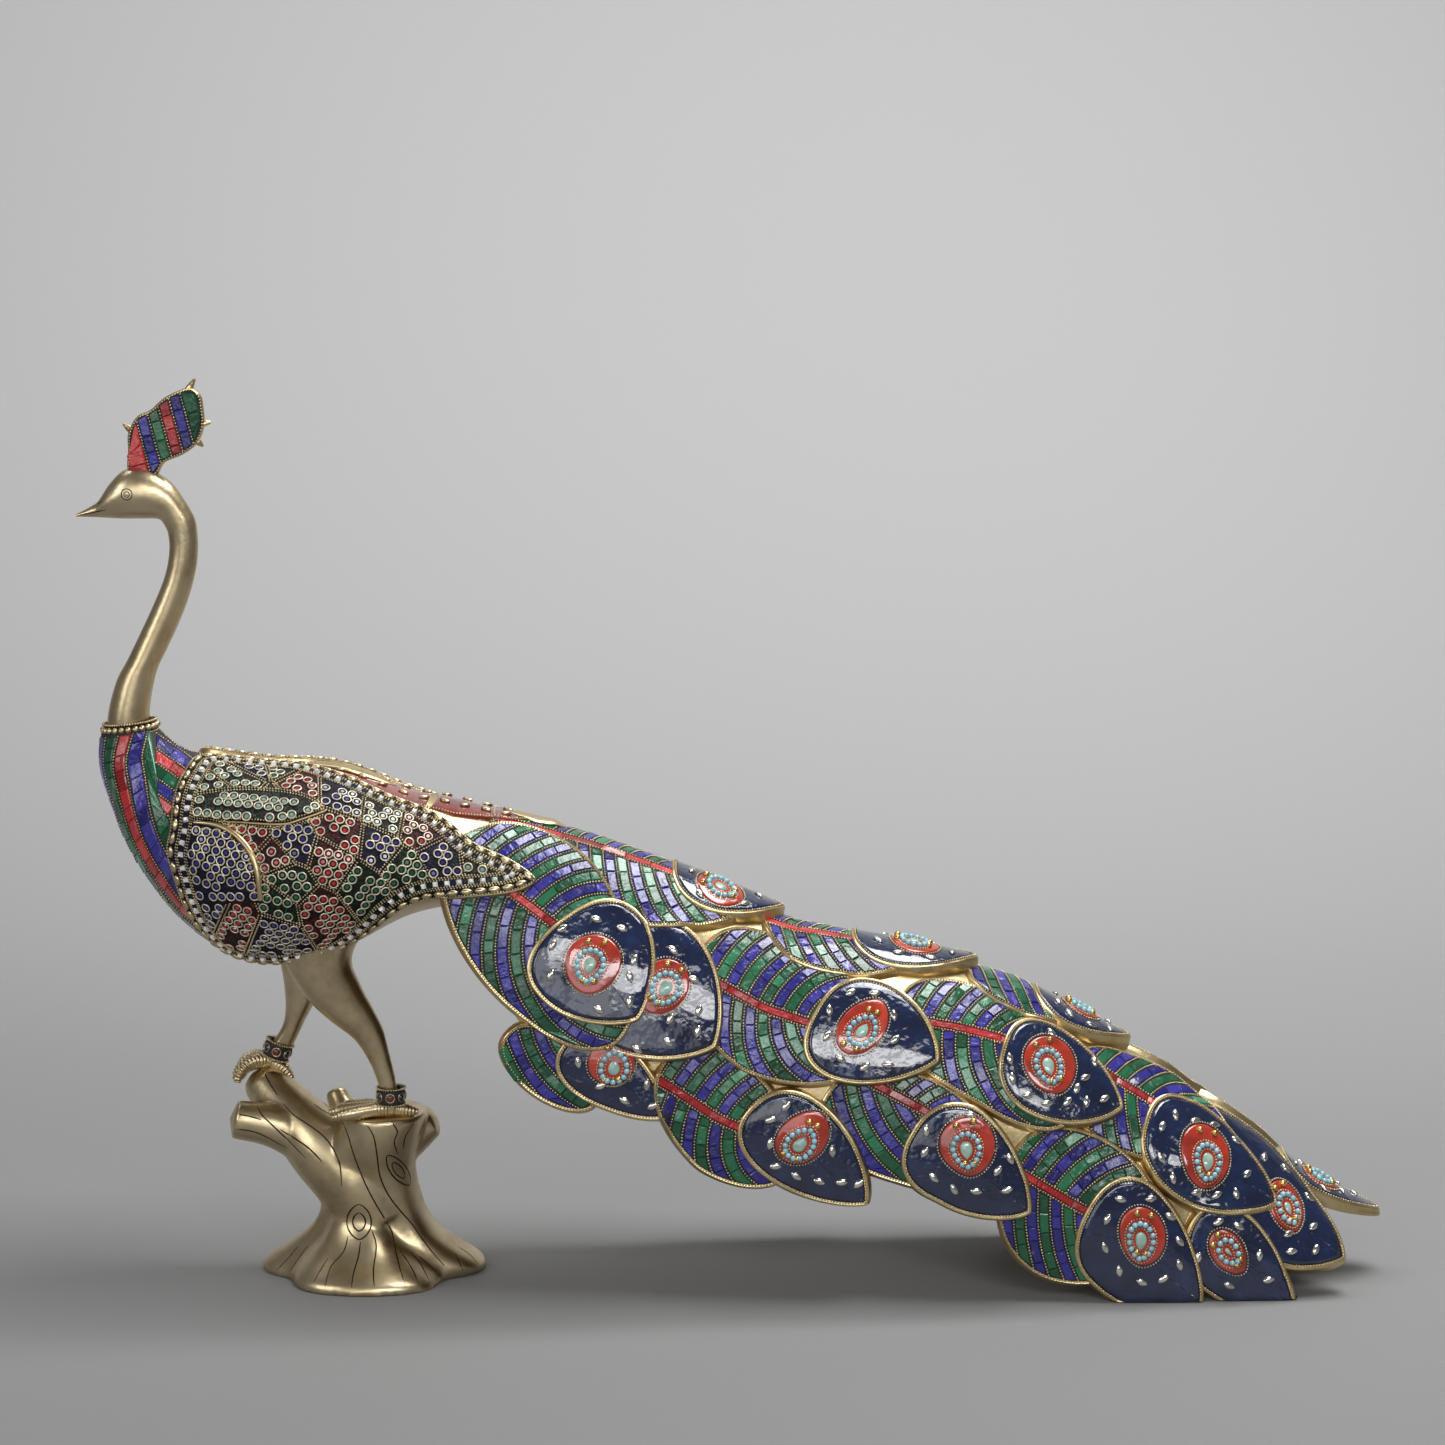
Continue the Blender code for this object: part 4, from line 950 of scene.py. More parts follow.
def train_skin():
    """The sheet's face: a is along the train and b is down the near side from the ridge."""
    us, vs = np.arange(-0.02, 0.9801, 0.002), np.arange(-0.32, 0.3201, 0.002)
    keys, values = zip(*RIDGE_RISE)
    fine = np.interp(np.arange(-0.06, 1.02, 0.002), keys, values)
    kernel = np.hanning(13) / np.hanning(13).sum()
    even = np.convolve(fine, kernel, mode="same")
    rise = np.interp(us, np.arange(-0.06, 1.02, 0.002), even)
    turn = np.linspace(0, math.pi / 2, 33)
    cos, sin = math.cos(TRAIN_SLOPE), math.sin(TRAIN_SLOPE)
    points = np.zeros((len(us), len(vs), 3))
    for i, a in enumerate(us):
        out = TRAIN_HALF_WIDTH * np.interp(a, *zip(*SPREAD)) * np.sin(turn)
        down = np.interp(a, *zip(*SIDE_HEIGHT)) * (1 - np.cos(turn))
        reach = np.concatenate([[0], np.cumsum(np.hypot(np.diff(out), np.diff(down)))])
        b = np.abs(vs)
        y = np.interp(b, reach, out)
        height = rise[i] - np.interp(b, reach, down) - np.maximum(0.0, b - reach[-1])
        points[i] = np.stack([TRAIN_ROOT[0] + a * cos + height * sin, -np.sign(vs) * y,
                              TRAIN_ROOT[1] - a * sin + height * cos], 1)
    skin = Skin(us, vs, points, -1.0)
    AHEAD_SCALE[id(skin)] = (1.0, 1.0)
    return skin


class Leaf:
    """One leaf-shaped plate of the train."""

    def __init__(self, row, rank):
        self.feather, self.kind, self.a, self.b, self.long, self.wide, turn = row
        self.rank = rank
        self.turn = math.radians(turn)
        self.ridge = self.b == 0.0
        angles = np.linspace(0, 2 * math.pi, 84, endpoint=False)
        u = np.sign(np.cos(angles)) * np.abs(np.cos(angles)) ** 0.98
        v = np.sign(np.sin(angles)) * np.abs(np.sin(angles)) ** 0.82
        v *= np.abs(np.sin(angles / 2)) ** POINTED[self.kind]
        v /= np.abs(v).max()
        cos, sin = math.cos(self.turn), math.sin(self.turn)
        self.outline = np.stack([self.a + self.long * u * cos - self.wide * v * sin,
                                 self.b + self.long * u * sin + self.wide * v * cos], 1)

    def share(self, a, b):
        """Share of the way from root to tip."""
        cos, sin = math.cos(self.turn), math.sin(self.turn)
        return ((a - self.a) * cos + (b - self.b) * sin) / self.long / 2 + 0.5


class Train:
    """The train's skin, its leaves and how they lie on one another."""

    def __init__(self):
        self.skin = train_skin()
        self.us, self.vs = np.arange(-0.02, 0.9801, 0.002), np.arange(0, 0.3221, 0.002)
        grid_a, grid_b = np.meshgrid(self.us, self.vs, indexing="ij")
        self.leaves = [Leaf(row, k) for k, row in enumerate(LEAVES)]
        stack = np.zeros(grid_a.shape)
        for leaf in self.leaves:
            low, high = leaf.outline.min(0) - 0.012, leaf.outline.max(0) + 0.012
            near = ((grid_a > low[0]) & (grid_a < high[0]) & (grid_b > low[1]) & (grid_b < high[1]))
            depth = np.full(grid_a.shape, -0.05)
            depth[near] = outline_depth(leaf.outline, grid_a[near], grid_b[near])
            root, tip = LIFTS[leaf.kind]
            face = root + (tip - root) * np.clip(leaf.share(grid_a, grid_b), 0, 1)
            face += 0.0014 * (1 - np.exp(-np.maximum(depth, 0) / 0.012))
            need = np.where(depth > -0.002, np.maximum(stack + LEAF_CLEARANCE - face, 0), 0)
            raised = need
            for _ in range(14):
                wide = np.pad(raised, 1, mode="edge")
                even = (wide[:-2, 1:-1] + wide[2:, 1:-1] + wide[1:-1, :-2] + wide[1:-1, 2:]) / 4
                raised = np.maximum(need, even)
            leaf.face, leaf.depth = face + raised, depth
            stack = np.where(depth > 0, leaf.face, stack)

    def lift(self, leaf, more=0.0):
        return lambda a, b: read_grid(self.us, self.vs, leaf.face, a, np.abs(b)) + more

    def depth(self, leaf, a, b):
        found = read_grid(self.us, self.vs, leaf.depth, a, np.abs(b))
        return found if leaf.ridge else np.where(np.asarray(b) < 0, -1.0, found)

    def shows(self, leaf, spare=0.0):
        """Whether a spot of a leaf is clear of those above it."""
        def test(a, b):
            b = np.abs(b)
            clear = np.ones(np.shape(a), bool)
            for other in self.leaves[leaf.rank + 1:]:
                clear &= read_grid(self.us, self.vs, other.depth, a, b) < spare
            return clear & (self.skin.at(a, b, 0.0)[..., 2] > 0.003)
        return test

    def plate(self, leaf):
        """A leaf's closed casting with a lip round its sunken bed."""
        def ring(outline, lift):
            spots = self.skin.at(outline[:, 0], outline[:, 1], lift)
            spots[:, 2] = np.maximum(spots[:, 2], TRAIN_FOOT)
            return spots
        face = self.lift(leaf)
        edge = leaf.outline
        heart = np.array([leaf.a, leaf.b])
        base = np.maximum(0, edge[:, 0] - TRAIN_LENGTH) * 0.12 - 0.003
        bed = 0.0009
        rings, levels = [], []
        inner = inset(edge, LIP[leaf.kind] + 0.0004)
        for share in (0.12, 0.30, 0.48, 0.65, 0.80, 0.92, 1.0):
            line = heart + (inner - heart) * share
            rings.append(ring(line, face(line[:, 0], line[:, 1]) - bed))
            levels.append("bed")
        for by, drop in ((LIP[leaf.kind] - 0.0012, 0.0), (0.0016, -0.0001), (0.0006, 0.0004),
                         (0.0, 0.0017)):
            line = inset(edge, by)
            rings.append(ring(line, face(line[:, 0], line[:, 1]) - drop))
            levels.append("lip")
        skirt = inset(edge, -0.0020)
        middle = (face(edge[:, 0], edge[:, 1]) - 0.0017 + base) / 2
        rings.append(ring(skirt, middle))
        rings.append(ring(skirt, base))
        for share in (0.6, 0.2):
            line = heart + (edge - heart) * share
            rings.append(ring(line, -0.0035 + np.maximum(0, line[:, 0] - TRAIN_LENGTH) * 0.12))
        levels += ["lip"] * 4
        made = wrapped(rings, rings[0].mean(0), rings[-1].mean(0))
        inside = 1 + levels.index("lip")
        made["finish"] = (made["level"][made["faces"]].max(1) < inside).astype(int)
        return made

    def sheet(self):
        """The arched sheet, open below, as a closed shell."""
        a = np.linspace(0, TRAIN_LENGTH, 120)
        share = np.linspace(-1, 1, 61)
        reach = np.interp(a, *zip(*SHEET_REACH))
        us, vs = np.meshgrid(a, share, indexing="ij")
        vs = vs * reach[:, None]
        over = self.skin.at(us, vs, 0.0)
        under = self.skin.at(us, vs, -TRAIN_WALL)
        rings = np.concatenate([over, under[:, ::-1]], axis=1)
        rings[..., 2] = np.maximum(rings[..., 2], TRAIN_FOOT)
        return wrapped(rings)


def parts_of(name):
    """Shared shapes that several operators need, made once."""
    if name not in SHAPES:
        SHAPES[name] = {"train": Train, "body": body_skin, "wing": Wing}[name]()
    return SHAPES[name]


SHAPES = {}


class PEACOCK_OT_train_casting(bpy.types.Operator):
    """Casts the train: an arched sheet with overlapping feather plates, each with a raised lip"""
    bl_idname = "peacock.train_casting"
    bl_label = "Train casting"

    def execute(self, context):
        train = parts_of("train")
        parts = [train.sheet()]
        for leaf in train.leaves:
            plate = train.plate(leaf)
            parts.append(plate)
            if not leaf.ridge:
                parts.append(mirrored(plate))
        f = finishes()
        piece("train_casting", parts, [f["lip"], f["grout"]], "train", 35)
        return {"FINISHED"}


def quill_frame(leaf):
    """Start, direction and length of a vane's quill in train coordinates."""
    a0, b0, a1, b1 = QUILLS[leaf.feather]
    start, ahead = np.array([a0, b0]), np.array([a1 - a0, b1 - b0])
    length = np.linalg.norm(ahead)
    return start, ahead / length, length


def vane_rows(train, leaf, below, collected, seed):
    """Stripes of a vane on one side of its quill, along arcs round a centre."""
    start, ahead, _ = quill_frame(leaf)
    centre = np.array(ARCS[leaf.feather][1 if below else 0])
    sign = 1 if below else -1
    side = np.array([-ahead[1], ahead[0]]) * sign
    has_quill = leaf.feather not in ("F4", "F10")
    strip = 0.0052 if has_quill else 0.0004

    def place(s, t):
        return centre[0] + t * np.cos(s), centre[1] + t * np.sin(s)

    def inside(a, b):
        off = (a - start[0]) * side[0] + (b - start[1]) * side[1]
        return (train.depth(leaf, a, b) > LIP["vane"] + 0.0013) & (off > strip)

    rows = Rows(train.skin, place, np.linspace(math.radians(20), math.radians(340), 700), inside,
                seed)
    pitch = inlay().stripe
    near = train.shows(leaf, 0.004)
    keep_bead = train.shows(leaf)
    lift = train.lift(leaf, -0.0006)
    wires = []
    quill = start[0] + 0.5 * (QUILLS[leaf.feather][2] - start[0])
    shift = math.hypot(quill - centre[0], start[1] - centre[1]) % (2 * pitch)
    radii = np.arange(0.012 + shift % pitch - pitch, 0.30, pitch)
    for k, radius in enumerate(radii):
        if radius < 0.010:
            continue
        colour = "blue" if k % 2 else "green"
        collected[colour] += rows.tiles(radius + STRIPE_GAP, radius + pitch - STRIPE_GAP, lift, near)
        wires.append(rows.edge(radius, train.lift(leaf, 0.0002), keep_bead))
    return wires


class PEACOCK_OT_train_inlay(bpy.types.Operator):
    """Lays the stripes of stone tiles on every vane, with their quills and bead wires"""
    bl_idname = "peacock.train_inlay"
    bl_label = "Train inlay"

    def execute(self, context):
        train = parts_of("train")
        pairs = {"blue": [], "green": [], "red": []}
        singles = {"blue": [], "green": [], "red": []}
        pair_wires, single_wires = [], []
        for leaf in train.leaves:
            single = leaf.ridge
            wires = single_wires if single else pair_wires
            collected = singles if single else pairs
            keep = train.shows(leaf)
            line = inset(leaf.outline, LIP[leaf.kind])
            wires.append(wire(train.skin, line[:, 0], line[:, 1], train.lift(leaf, 0.0004), keep,
                              True))
            if leaf.kind == "panel":
                continue
            for below in (True, False):
                wires += vane_rows(train, leaf, below, collected, 40 + 2 * leaf.rank + below)
            if leaf.feather in ("F4", "F10"):
                continue
            start, ahead, length = quill_frame(leaf)
            side = np.array([-ahead[1], ahead[0]])

            def place(s, t):
                return (start[0] + ahead[0] * s + side[0] * t, start[1] + ahead[1] * s + side[1] * t)

            def inside(a, b):
                return train.depth(leaf, a, b) > LIP["vane"] + 0.0008

            rows = Rows(train.skin, place, np.linspace(-0.06, length + 0.04, 300), inside,
                        90 + leaf.rank)
            lift = train.lift(leaf, -0.0003)
            collected["red"] += rows.tiles(-0.0030, 0.0030, lift, train.shows(leaf, 0.004), 0.0001,
                                           (0.022, 0.040))
            for t in (-0.0042, 0.0042):
                wires.append(rows.edge(t, train.lift(leaf, 0.0004), keep))
        f = finishes()
        names = {"blue": "train_lapis", "green": "train_malachite", "red": "train_coral"}
        for colour, name in names.items():
            both = pairs[colour] + [mirrored(p) for p in pairs[colour]] + singles[colour]
            piece(name, both, [f[colour]], None, 25)
        beads = beads_at(pair_wires)
        piece("train_wires_near", [beads, beads_at(single_wires)], [f["wire"]])
        piece("train_wires_far", [mirrored(beads)], [f["wire"]])
        return {"FINISHED"}


def pear(a, b, long, wide, turn, count=56, point=0.35):
    """Points round a pear in train coordinates; its narrow end is at turn."""
    angles = np.linspace(0, 2 * math.pi, count, endpoint=False)
    u, v = np.cos(angles), np.sin(angles) * np.abs(np.sin(angles / 2)) ** point
    v /= np.abs(v).max()
    cos, sin = math.cos(math.radians(turn)), math.sin(math.radians(turn))
    return np.stack([a + long * u * cos - wide * v * sin, b + long * u * sin + wide * v * cos], 1)


def pool(train, leaf, outline, over, under, crown=0.0, rounds=(0.08, 0.25, 0.42, 0.58, 0.72, 0.85, 0.94)):
    """A closed lens of enamel inside an outline on a leaf."""
    heart = outline.mean(0)
    rings = []
    for share in rounds:
        line = heart + (outline - heart) * share
        rise = crown * (1 - share ** 2)
        rings.append(train.skin.at(line[:, 0], line[:, 1], train.lift(leaf, over + rise)(*line.T)))
    for lift in (over - 0.0002, under):
        rings.append(train.skin.at(outline[:, 0], outline[:, 1], train.lift(leaf, lift)(*outline.T)))
    line = heart + (outline - heart) * 0.4
    rings.append(train.skin.at(line[:, 0], line[:, 1], train.lift(leaf, under)(*line.T)))
    for ring in rings:
        ring[:, 2] = np.maximum(ring[:, 2], TRAIN_FOOT)
    return wrapped(rings)


class PEACOCK_OT_train_eyes(bpy.types.Operator):
    """Fills every eye panel: navy enamel, almond studs, the orange drop and its turquoise ring"""
    bl_idname = "peacock.train_eyes"
    bl_label = "Train eyes"

    def execute(self, context):
        train = parts_of("train")
        rng = np.random.default_rng(7)
        lots = {key: ([], []) for key in ("navy", "orange", "stud", "turquoise", "gold", "wire",
                                          "heart")}
        for leaf in (x for x in train.leaves if x.kind == "panel"):
            which = 1 if leaf.ridge else 0

            def put(kind, part):
                if len(part["faces"]):
                    lots[kind][which].append(part)

            shows = train.shows(leaf, 0.002)
            a, b, long, wide, turn, ring_a, ring_b, half = DROPS[leaf.feather]
            put("navy", pool(train, leaf, inset(leaf.outline, LIP["panel"] + 0.0014), 0.0002,
                             -0.0030, 0.0, (0.06, 0.16, 0.26, 0.36, 0.46, 0.56, 0.66, 0.76, 0.86, 0.95)))
            drop = pear(a, b, long, wide * 1.12, turn, 56, 0.15)
            inner = inset(drop, 0.0018)
            if shows(*drop.T).any():
                put("orange", pool(train, leaf, inner, 0.0013, -0.0015, 0.0008))
            bead_lift = train.lift(leaf, 0.0008)
            centres = [wire(train.skin, *drop.T, bead_lift, shows, True)]
            shift = 0.0018
            ring = pear(ring_a, ring_b, half + shift, half, turn, 48, 0.25)
            outer = inset(ring, -0.0036)
            centres.append(wire(train.skin, *outer.T, train.lift(leaf, 0.0018), shows, True))
            core = inset(ring, 0.0034)
            centres.append(wire(train.skin, *core.T, train.lift(leaf, 0.0022), shows, True))
            centres = [c for c in centres if len(c)]
            if centres:
                put("wire", beads_at(centres))
            length = np.linalg.norm(np.diff(np.vstack([ring, ring[:1]]), axis=0), axis=1)
            reach = np.concatenate([[0], np.cumsum(length)])
            count = int(round(reach[-1] / 0.0053))
            stops = np.linspace(0, reach[-1], count, endpoint=False)
            closed = np.vstack([ring, ring[:1]])
            pa, pb = np.interp(stops, reach, closed[:, 0]), np.interp(stops, reach, closed[:, 1])
            good = shows(pa, pb)
            corners, faces = fine_ball()
            if good.any():
                put("turquoise", repeated((corners * 0.0026, faces),
                                          train.skin.at(pa[good], pb[good],
                                                        train.lift(leaf, 0.0028)(pa[good], pb[good]))))
            stone_line = inset(ring, 0.0062)
            if shows(ring_a, ring_b):
                put("heart", pool(train, leaf, stone_line, 0.0024, -0.0005, 0.0012,
                                  (0.1, 0.4, 0.7, 0.9)))
            angle = math.radians(turn)
            spots = []
            for along, across in ((-0.86, -0.28), (-0.80, 0.36), (0.62, 0.20), (0.60, -0.20)):
                spots.append((a + long * along * 0.86 * math.cos(angle) - wide * across * math.sin(angle),
                              b + long * along * 0.86 * math.sin(angle) + wide * across * math.cos(angle)))
            spots = np.array(spots)
            good = shows(*spots.T)
            if good.any():
                put("gold", repeated((corners * 0.0031, faces),
                                     train.skin.at(*spots[good].T,
                                                   train.lift(leaf, 0.0024)(*spots[good].T))))
            studs = np.array(STUDS[leaf.feather])
            good = shows(*studs.T) & (train.depth(leaf, *studs.T) > LIP["panel"] + 0.003)
            studs = studs[good]
            if len(studs):
                lean = np.arctan2(studs[:, 1] - b, studs[:, 0] - a) + math.pi / 2
                lean += rng.uniform(-0.9, 0.9, len(studs))
                put("stud", set_on(almond(), train.skin, *studs.T, lean, (0.0058, 0.0032, 0.0018),
                                   train.lift(leaf, 0.0008)(*studs.T)))
        f = finishes()
        table = {"navy": ("eye_enamel", "navy"), "orange": ("drop_enamel", "orange"),
                 "stud": ("panel_studs", "silver"), "turquoise": ("turquoise_beads", "turquoise"),
                 "gold": ("gold_balls", "gold"), "wire": ("eye_wires", "wire"),
                 "heart": ("eye_stones", "pale green")}
        for kind, (name, material) in table.items():
            near, single = lots[kind]
            piece(name, near + [mirrored(p) for p in near] + single, [f[material]])
        return {"FINISHED"}


# Figure

BODY_HALF_WIDTH = 0.097
LEG_SPREAD = 0.036
TOE_RADIUS = 0.0048


def body_rows(steps):
    """Sections from the collar, down over the breast and back to the rump."""
    width = BODY_HALF_WIDTH
    return smooth_rows([
        (-0.2325, 0.486, -0.1875, 0.494, 0.24 * width), (-0.2335, 0.458, -0.1735, 0.478, 0.33 * width),
        (-0.2245, 0.425, -0.1575, 0.468, 0.45 * width), (-0.2105, 0.388, -0.1355, 0.465, 0.60 * width),
        (-0.1885, 0.352, -0.1135, 0.462, 0.74 * width), (-0.1615, 0.320, -0.0885, 0.458, 0.86 * width),
        (-0.1185, 0.290, -0.0535, 0.457, 0.96 * width), (-0.0735, 0.283, -0.0185, 0.454, width),
        (-0.0185, 0.297, 0.0315, 0.435, 0.92 * width), (0.0365, 0.325, 0.0815, 0.413, 0.74 * width),
        (0.0865, 0.335, 0.1215, 0.392, 0.55 * width), (0.1365, 0.338, 0.1565, 0.366, 0.30 * width),
    ], steps)


def neck_rows(steps):
    """Sections up the neck, over the head and along the beak."""
    return smooth_rows([
        (-0.2230, 0.468, -0.1870, 0.472, 0.0180), (-0.2275, 0.496, -0.1905, 0.501, 0.0187),
        (-0.2195, 0.530, -0.1840, 0.538, 0.0162), (-0.2080, 0.552, -0.1730, 0.562, 0.0140),
        (-0.1965, 0.575, -0.1620, 0.585, 0.0130), (-0.1845, 0.600, -0.1530, 0.608, 0.0124),
        (-0.1745, 0.624, -0.1470, 0.630, 0.0119), (-0.1700, 0.645, -0.1448, 0.647, 0.0116),
        (-0.1705, 0.661, -0.1448, 0.661, 0.0117), (-0.1740, 0.670, -0.1470, 0.675, 0.0120),
        (-0.1775, 0.674, -0.1555, 0.691, 0.0126), (-0.1820, 0.675, -0.1665, 0.706, 0.0140),
        (-0.1880, 0.675, -0.1810, 0.716, 0.0155), (-0.1970, 0.675, -0.1955, 0.7195, 0.0165),
        (-0.2090, 0.675, -0.2090, 0.7165, 0.0158), (-0.2200, 0.6755, -0.2205, 0.7055, 0.0125),
        (-0.2290, 0.6760, -0.2300, 0.6915, 0.0080), (-0.2325, 0.6762, -0.2345, 0.6875, 0.0062),
        (-0.2420, 0.6765, -0.2430, 0.6825, 0.0035), (-0.2505, 0.6766, -0.2508, 0.6785, 0.0012),
    ], steps)


def leg_rows():
    """Sections down each leg: the near one strides back and the far one forward."""
    top = STUMP_HEIGHT
    near = [(-0.075, 0.320, 0.003, 0.325, 0.030), (-0.070, 0.285, -0.012, 0.292, 0.026),
            (-0.052, 0.255, -0.005, 0.268, 0.0215), (-0.032, 0.235, 0.006, 0.246, 0.0165),
            (-0.012, 0.219, 0.0145, 0.228, 0.0125), (0.0005, 0.200, 0.0200, 0.2055, 0.0092),
            (0.0085, 0.180, 0.0250, 0.1835, 0.0080), (0.0120, top + 0.012, 0.0285, top + 0.012, 0.0078),
            (0.0100, top + 0.001, 0.0310, top + 0.001, 0.0085)]
    far = [(-0.090, 0.325, -0.032, 0.325, 0.027), (-0.0850, 0.280, -0.0400, 0.285, 0.022),
           (-0.0812, 0.256, -0.0470, 0.256, 0.0175), (-0.0798, 0.232, -0.0530, 0.236, 0.0135),
           (-0.0825, 0.215, -0.0630, 0.217, 0.0100), (-0.0905, 0.202, -0.0730, 0.196, 0.0085),
           (-0.0985, 0.194, -0.0815, 0.184, 0.0080), (-0.1060, top + 0.040, -0.0865, top + 0.030, 0.0085)]
    return smooth_rows(near, 6), smooth_rows(far, 6)


def section_rings(rows, sides, offset=0.0):
    """Ellipses that stand across the XZ plane, one for each row."""
    turn = np.linspace(0, 2 * math.pi, sides, endpoint=False)
    a, b = rows[:, None, 0:2], rows[:, None, 2:4]
    middle, rise = (a + b) / 2, (b - a) / 2
    flat = middle + rise * np.cos(turn)[None, :, None]
    across = offset + rows[:, 4:5] * np.sin(turn)[None]
    return np.stack([flat[..., 0], across, flat[..., 1]], 2)


def tube(points, sides):
    """A round closed skin along points of (x, y, z, radius)."""
    points = np.array(points, float)
    centres = points[:, :3]
    ahead = np.gradient(centres, axis=0)
    ahead /= np.linalg.norm(ahead, axis=1, keepdims=True)
    side = np.cross(ahead[0], (0, 1, 0) if abs(ahead[0][1]) < 0.9 else (1, 0, 0))
    rings = []
    turn = np.linspace(0, 2 * math.pi, sides, endpoint=False)
    for centre, direction, radius in zip(centres, ahead, points[:, 3]):
        side = side - direction * side.dot(direction)
        side /= np.linalg.norm(side)
        other = np.cross(direction, side)
        rings.append(centre + (np.outer(np.cos(turn), side) + np.outer(np.sin(turn), other)) * radius)
    return wrapped(rings, centres[0] - ahead[0] * points[0, 3] * 0.3,
                   centres[-1] + ahead[-1] * points[-1, 3] * 0.3)


def body_skin():
    """The body's near side: u runs down the breast and back, v is round from the front line."""
    rows = body_rows(8)
    rings = section_rings(rows, 96)
    order = (48 - np.arange(0, 97)) % 96
    vs = np.arange(-0.02, 0.1801, 0.0015)
    points = np.zeros((len(rows), len(vs), 3))
    for i, ring in enumerate(rings):
        line = ring[order] * (1, -1, 1)
        if line[10, 1] > 0:
            line = line * (1, -1, 1)
        reach = np.concatenate([[0], np.cumsum(np.linalg.norm(np.diff(line, axis=0), axis=1))])
        for k in range(3):
            points[i, :, k] = np.interp(np.abs(vs), reach, line[:, k])
        points[i, vs < 0, 1] *= -1
    us = np.linspace(0, 1, len(rows))
    skin = Skin(us, vs, points, 1.0)
    middle = np.array([-0.10, 0, 0.38])
    probe = skin.at(0.45, 0.06)
    if (skin.normal(0.45, 0.06) * (probe - middle)).sum() < 0:
        skin.normals *= -1
    AHEAD_SCALE[id(skin)] = (4.0, 1.0)
    return skin


def toe_rows():
    """Points of (x, y, z, radius) along each toe, from the ankle to the claw."""
    r, y = TOE_RADIUS, LEG_SPREAD
    sole = STUMP_HEIGHT + r - 0.0012
    paths = []
    for reach, aside in ((-0.050, -0.018), (-0.054, 0.001), (-0.048, 0.017)):
        paths.append([(0.0200, -y, sole + 0.002, 1.3 * r),
                      (0.0200 + 0.3 * reach, -y + 0.35 * aside, sole + 0.002, 1.1 * r),
                      (0.0200 + 0.75 * reach, -y + 0.85 * aside, sole, r),
                      (0.0200 + reach, -y + aside, sole - 0.002, 0.45 * r)])
    paths.append([(0.0200, -y, sole + 0.002, 1.2 * r), (0.0340, -y, sole, r),
                  (0.0440, -y, sole - 0.001, 0.45 * r)])
    high = STUMP_HEIGHT + 0.029
    for aside in (-0.0135, 0.0005, 0.0130):
        paths.append([(-0.0970, y, high + 0.003, 1.3 * r),
                      (-0.1080, y + 0.6 * aside, high + 0.003, 1.1 * r),
                      (-0.1165, y + aside, high - 0.001, r),
                      (-0.1212, y + 1.1 * aside, high - 0.008, 0.9 * r),
                      (-0.1222, y + 1.1 * aside, high - 0.014, 0.45 * r)])
    paths.append([(-0.0970, y, high + 0.003, 1.2 * r), (-0.0830, y, high - 0.005, r),
                  (-0.0750, y, high - 0.015, 0.5 * r)])
    return paths


def fused(part, voxel, rounds):
    """One even skin over overlapping closed skins, smoothed."""
    made = bare(part)
    step = made.modifiers.new("Fuse", "REMESH")
    step.mode = "VOXEL"
    step.voxel_size = voxel
    ease = made.modifiers.new("Ease", "SMOOTH")
    ease.factor = 0.6
    ease.iterations = rounds
    graph = bpy.context.evaluated_depsgraph_get()
    mesh = bpy.data.meshes.new_from_object(made.evaluated_get(graph))
    made.modifiers.clear()
    made.data = mesh
    return made


def cut_lines(target, cutters, line_material, own_materials):
    """Engraves closed thin cutters into a piece; the groove gets the line's material."""
    tool = bare(joined(cutters), "tool")
    tool.data.materials.append(line_material)
    target.data.materials.clear()
    for material in own_materials:
        target.data.materials.append(material)
    step = target.modifiers.new("Engrave", "BOOLEAN")
    step.operation = "DIFFERENCE"
    step.object = tool
    step.solver = "EXACT"
    step.use_self = True
    step.material_mode = "TRANSFER"
    graph = bpy.context.evaluated_depsgraph_get()
    mesh = bpy.data.meshes.new_from_object(target.evaluated_get(graph))
    target.modifiers.clear()
    target.data = mesh
    bpy.data.objects.remove(tool, do_unlink=True)
    return list(mesh.materials)


class PEACOCK_OT_body(bpy.types.Operator):
    """Casts the body with its legs, and the toes that grip the stump"""
    bl_idname = "peacock.body"
    bl_label = "Body, legs and toes"

    def execute(self, context):
        f = finishes()
        parts = [wrapped(section_rings(body_rows(10), 72))]
        for side, rows in zip((-1, 1), leg_rows()):
            parts.append(wrapped(section_rings(rows, 28, side * LEG_SPREAD)))
        made = fused(joined(parts), 0.0022, 8)
        finished(made, "body_casting", [f["brass"]], "peacock")
        toes = []
        for path in toe_rows():
            line = smooth_rows(path, 16)
            reach = np.concatenate([[0], np.cumsum(np.linalg.norm(np.diff(line[:, :3], axis=0), axis=1))])
            line[:, 3] *= 1.28 * (1 + 0.13 * np.cos(reach / 0.0030 * 2 * math.pi))
            line[:, 2] += 0.0012
            toes.append(tube(line, 16))
        piece("toes", toes, [f["brass"]], "peacock")
        return {"FINISHED"}


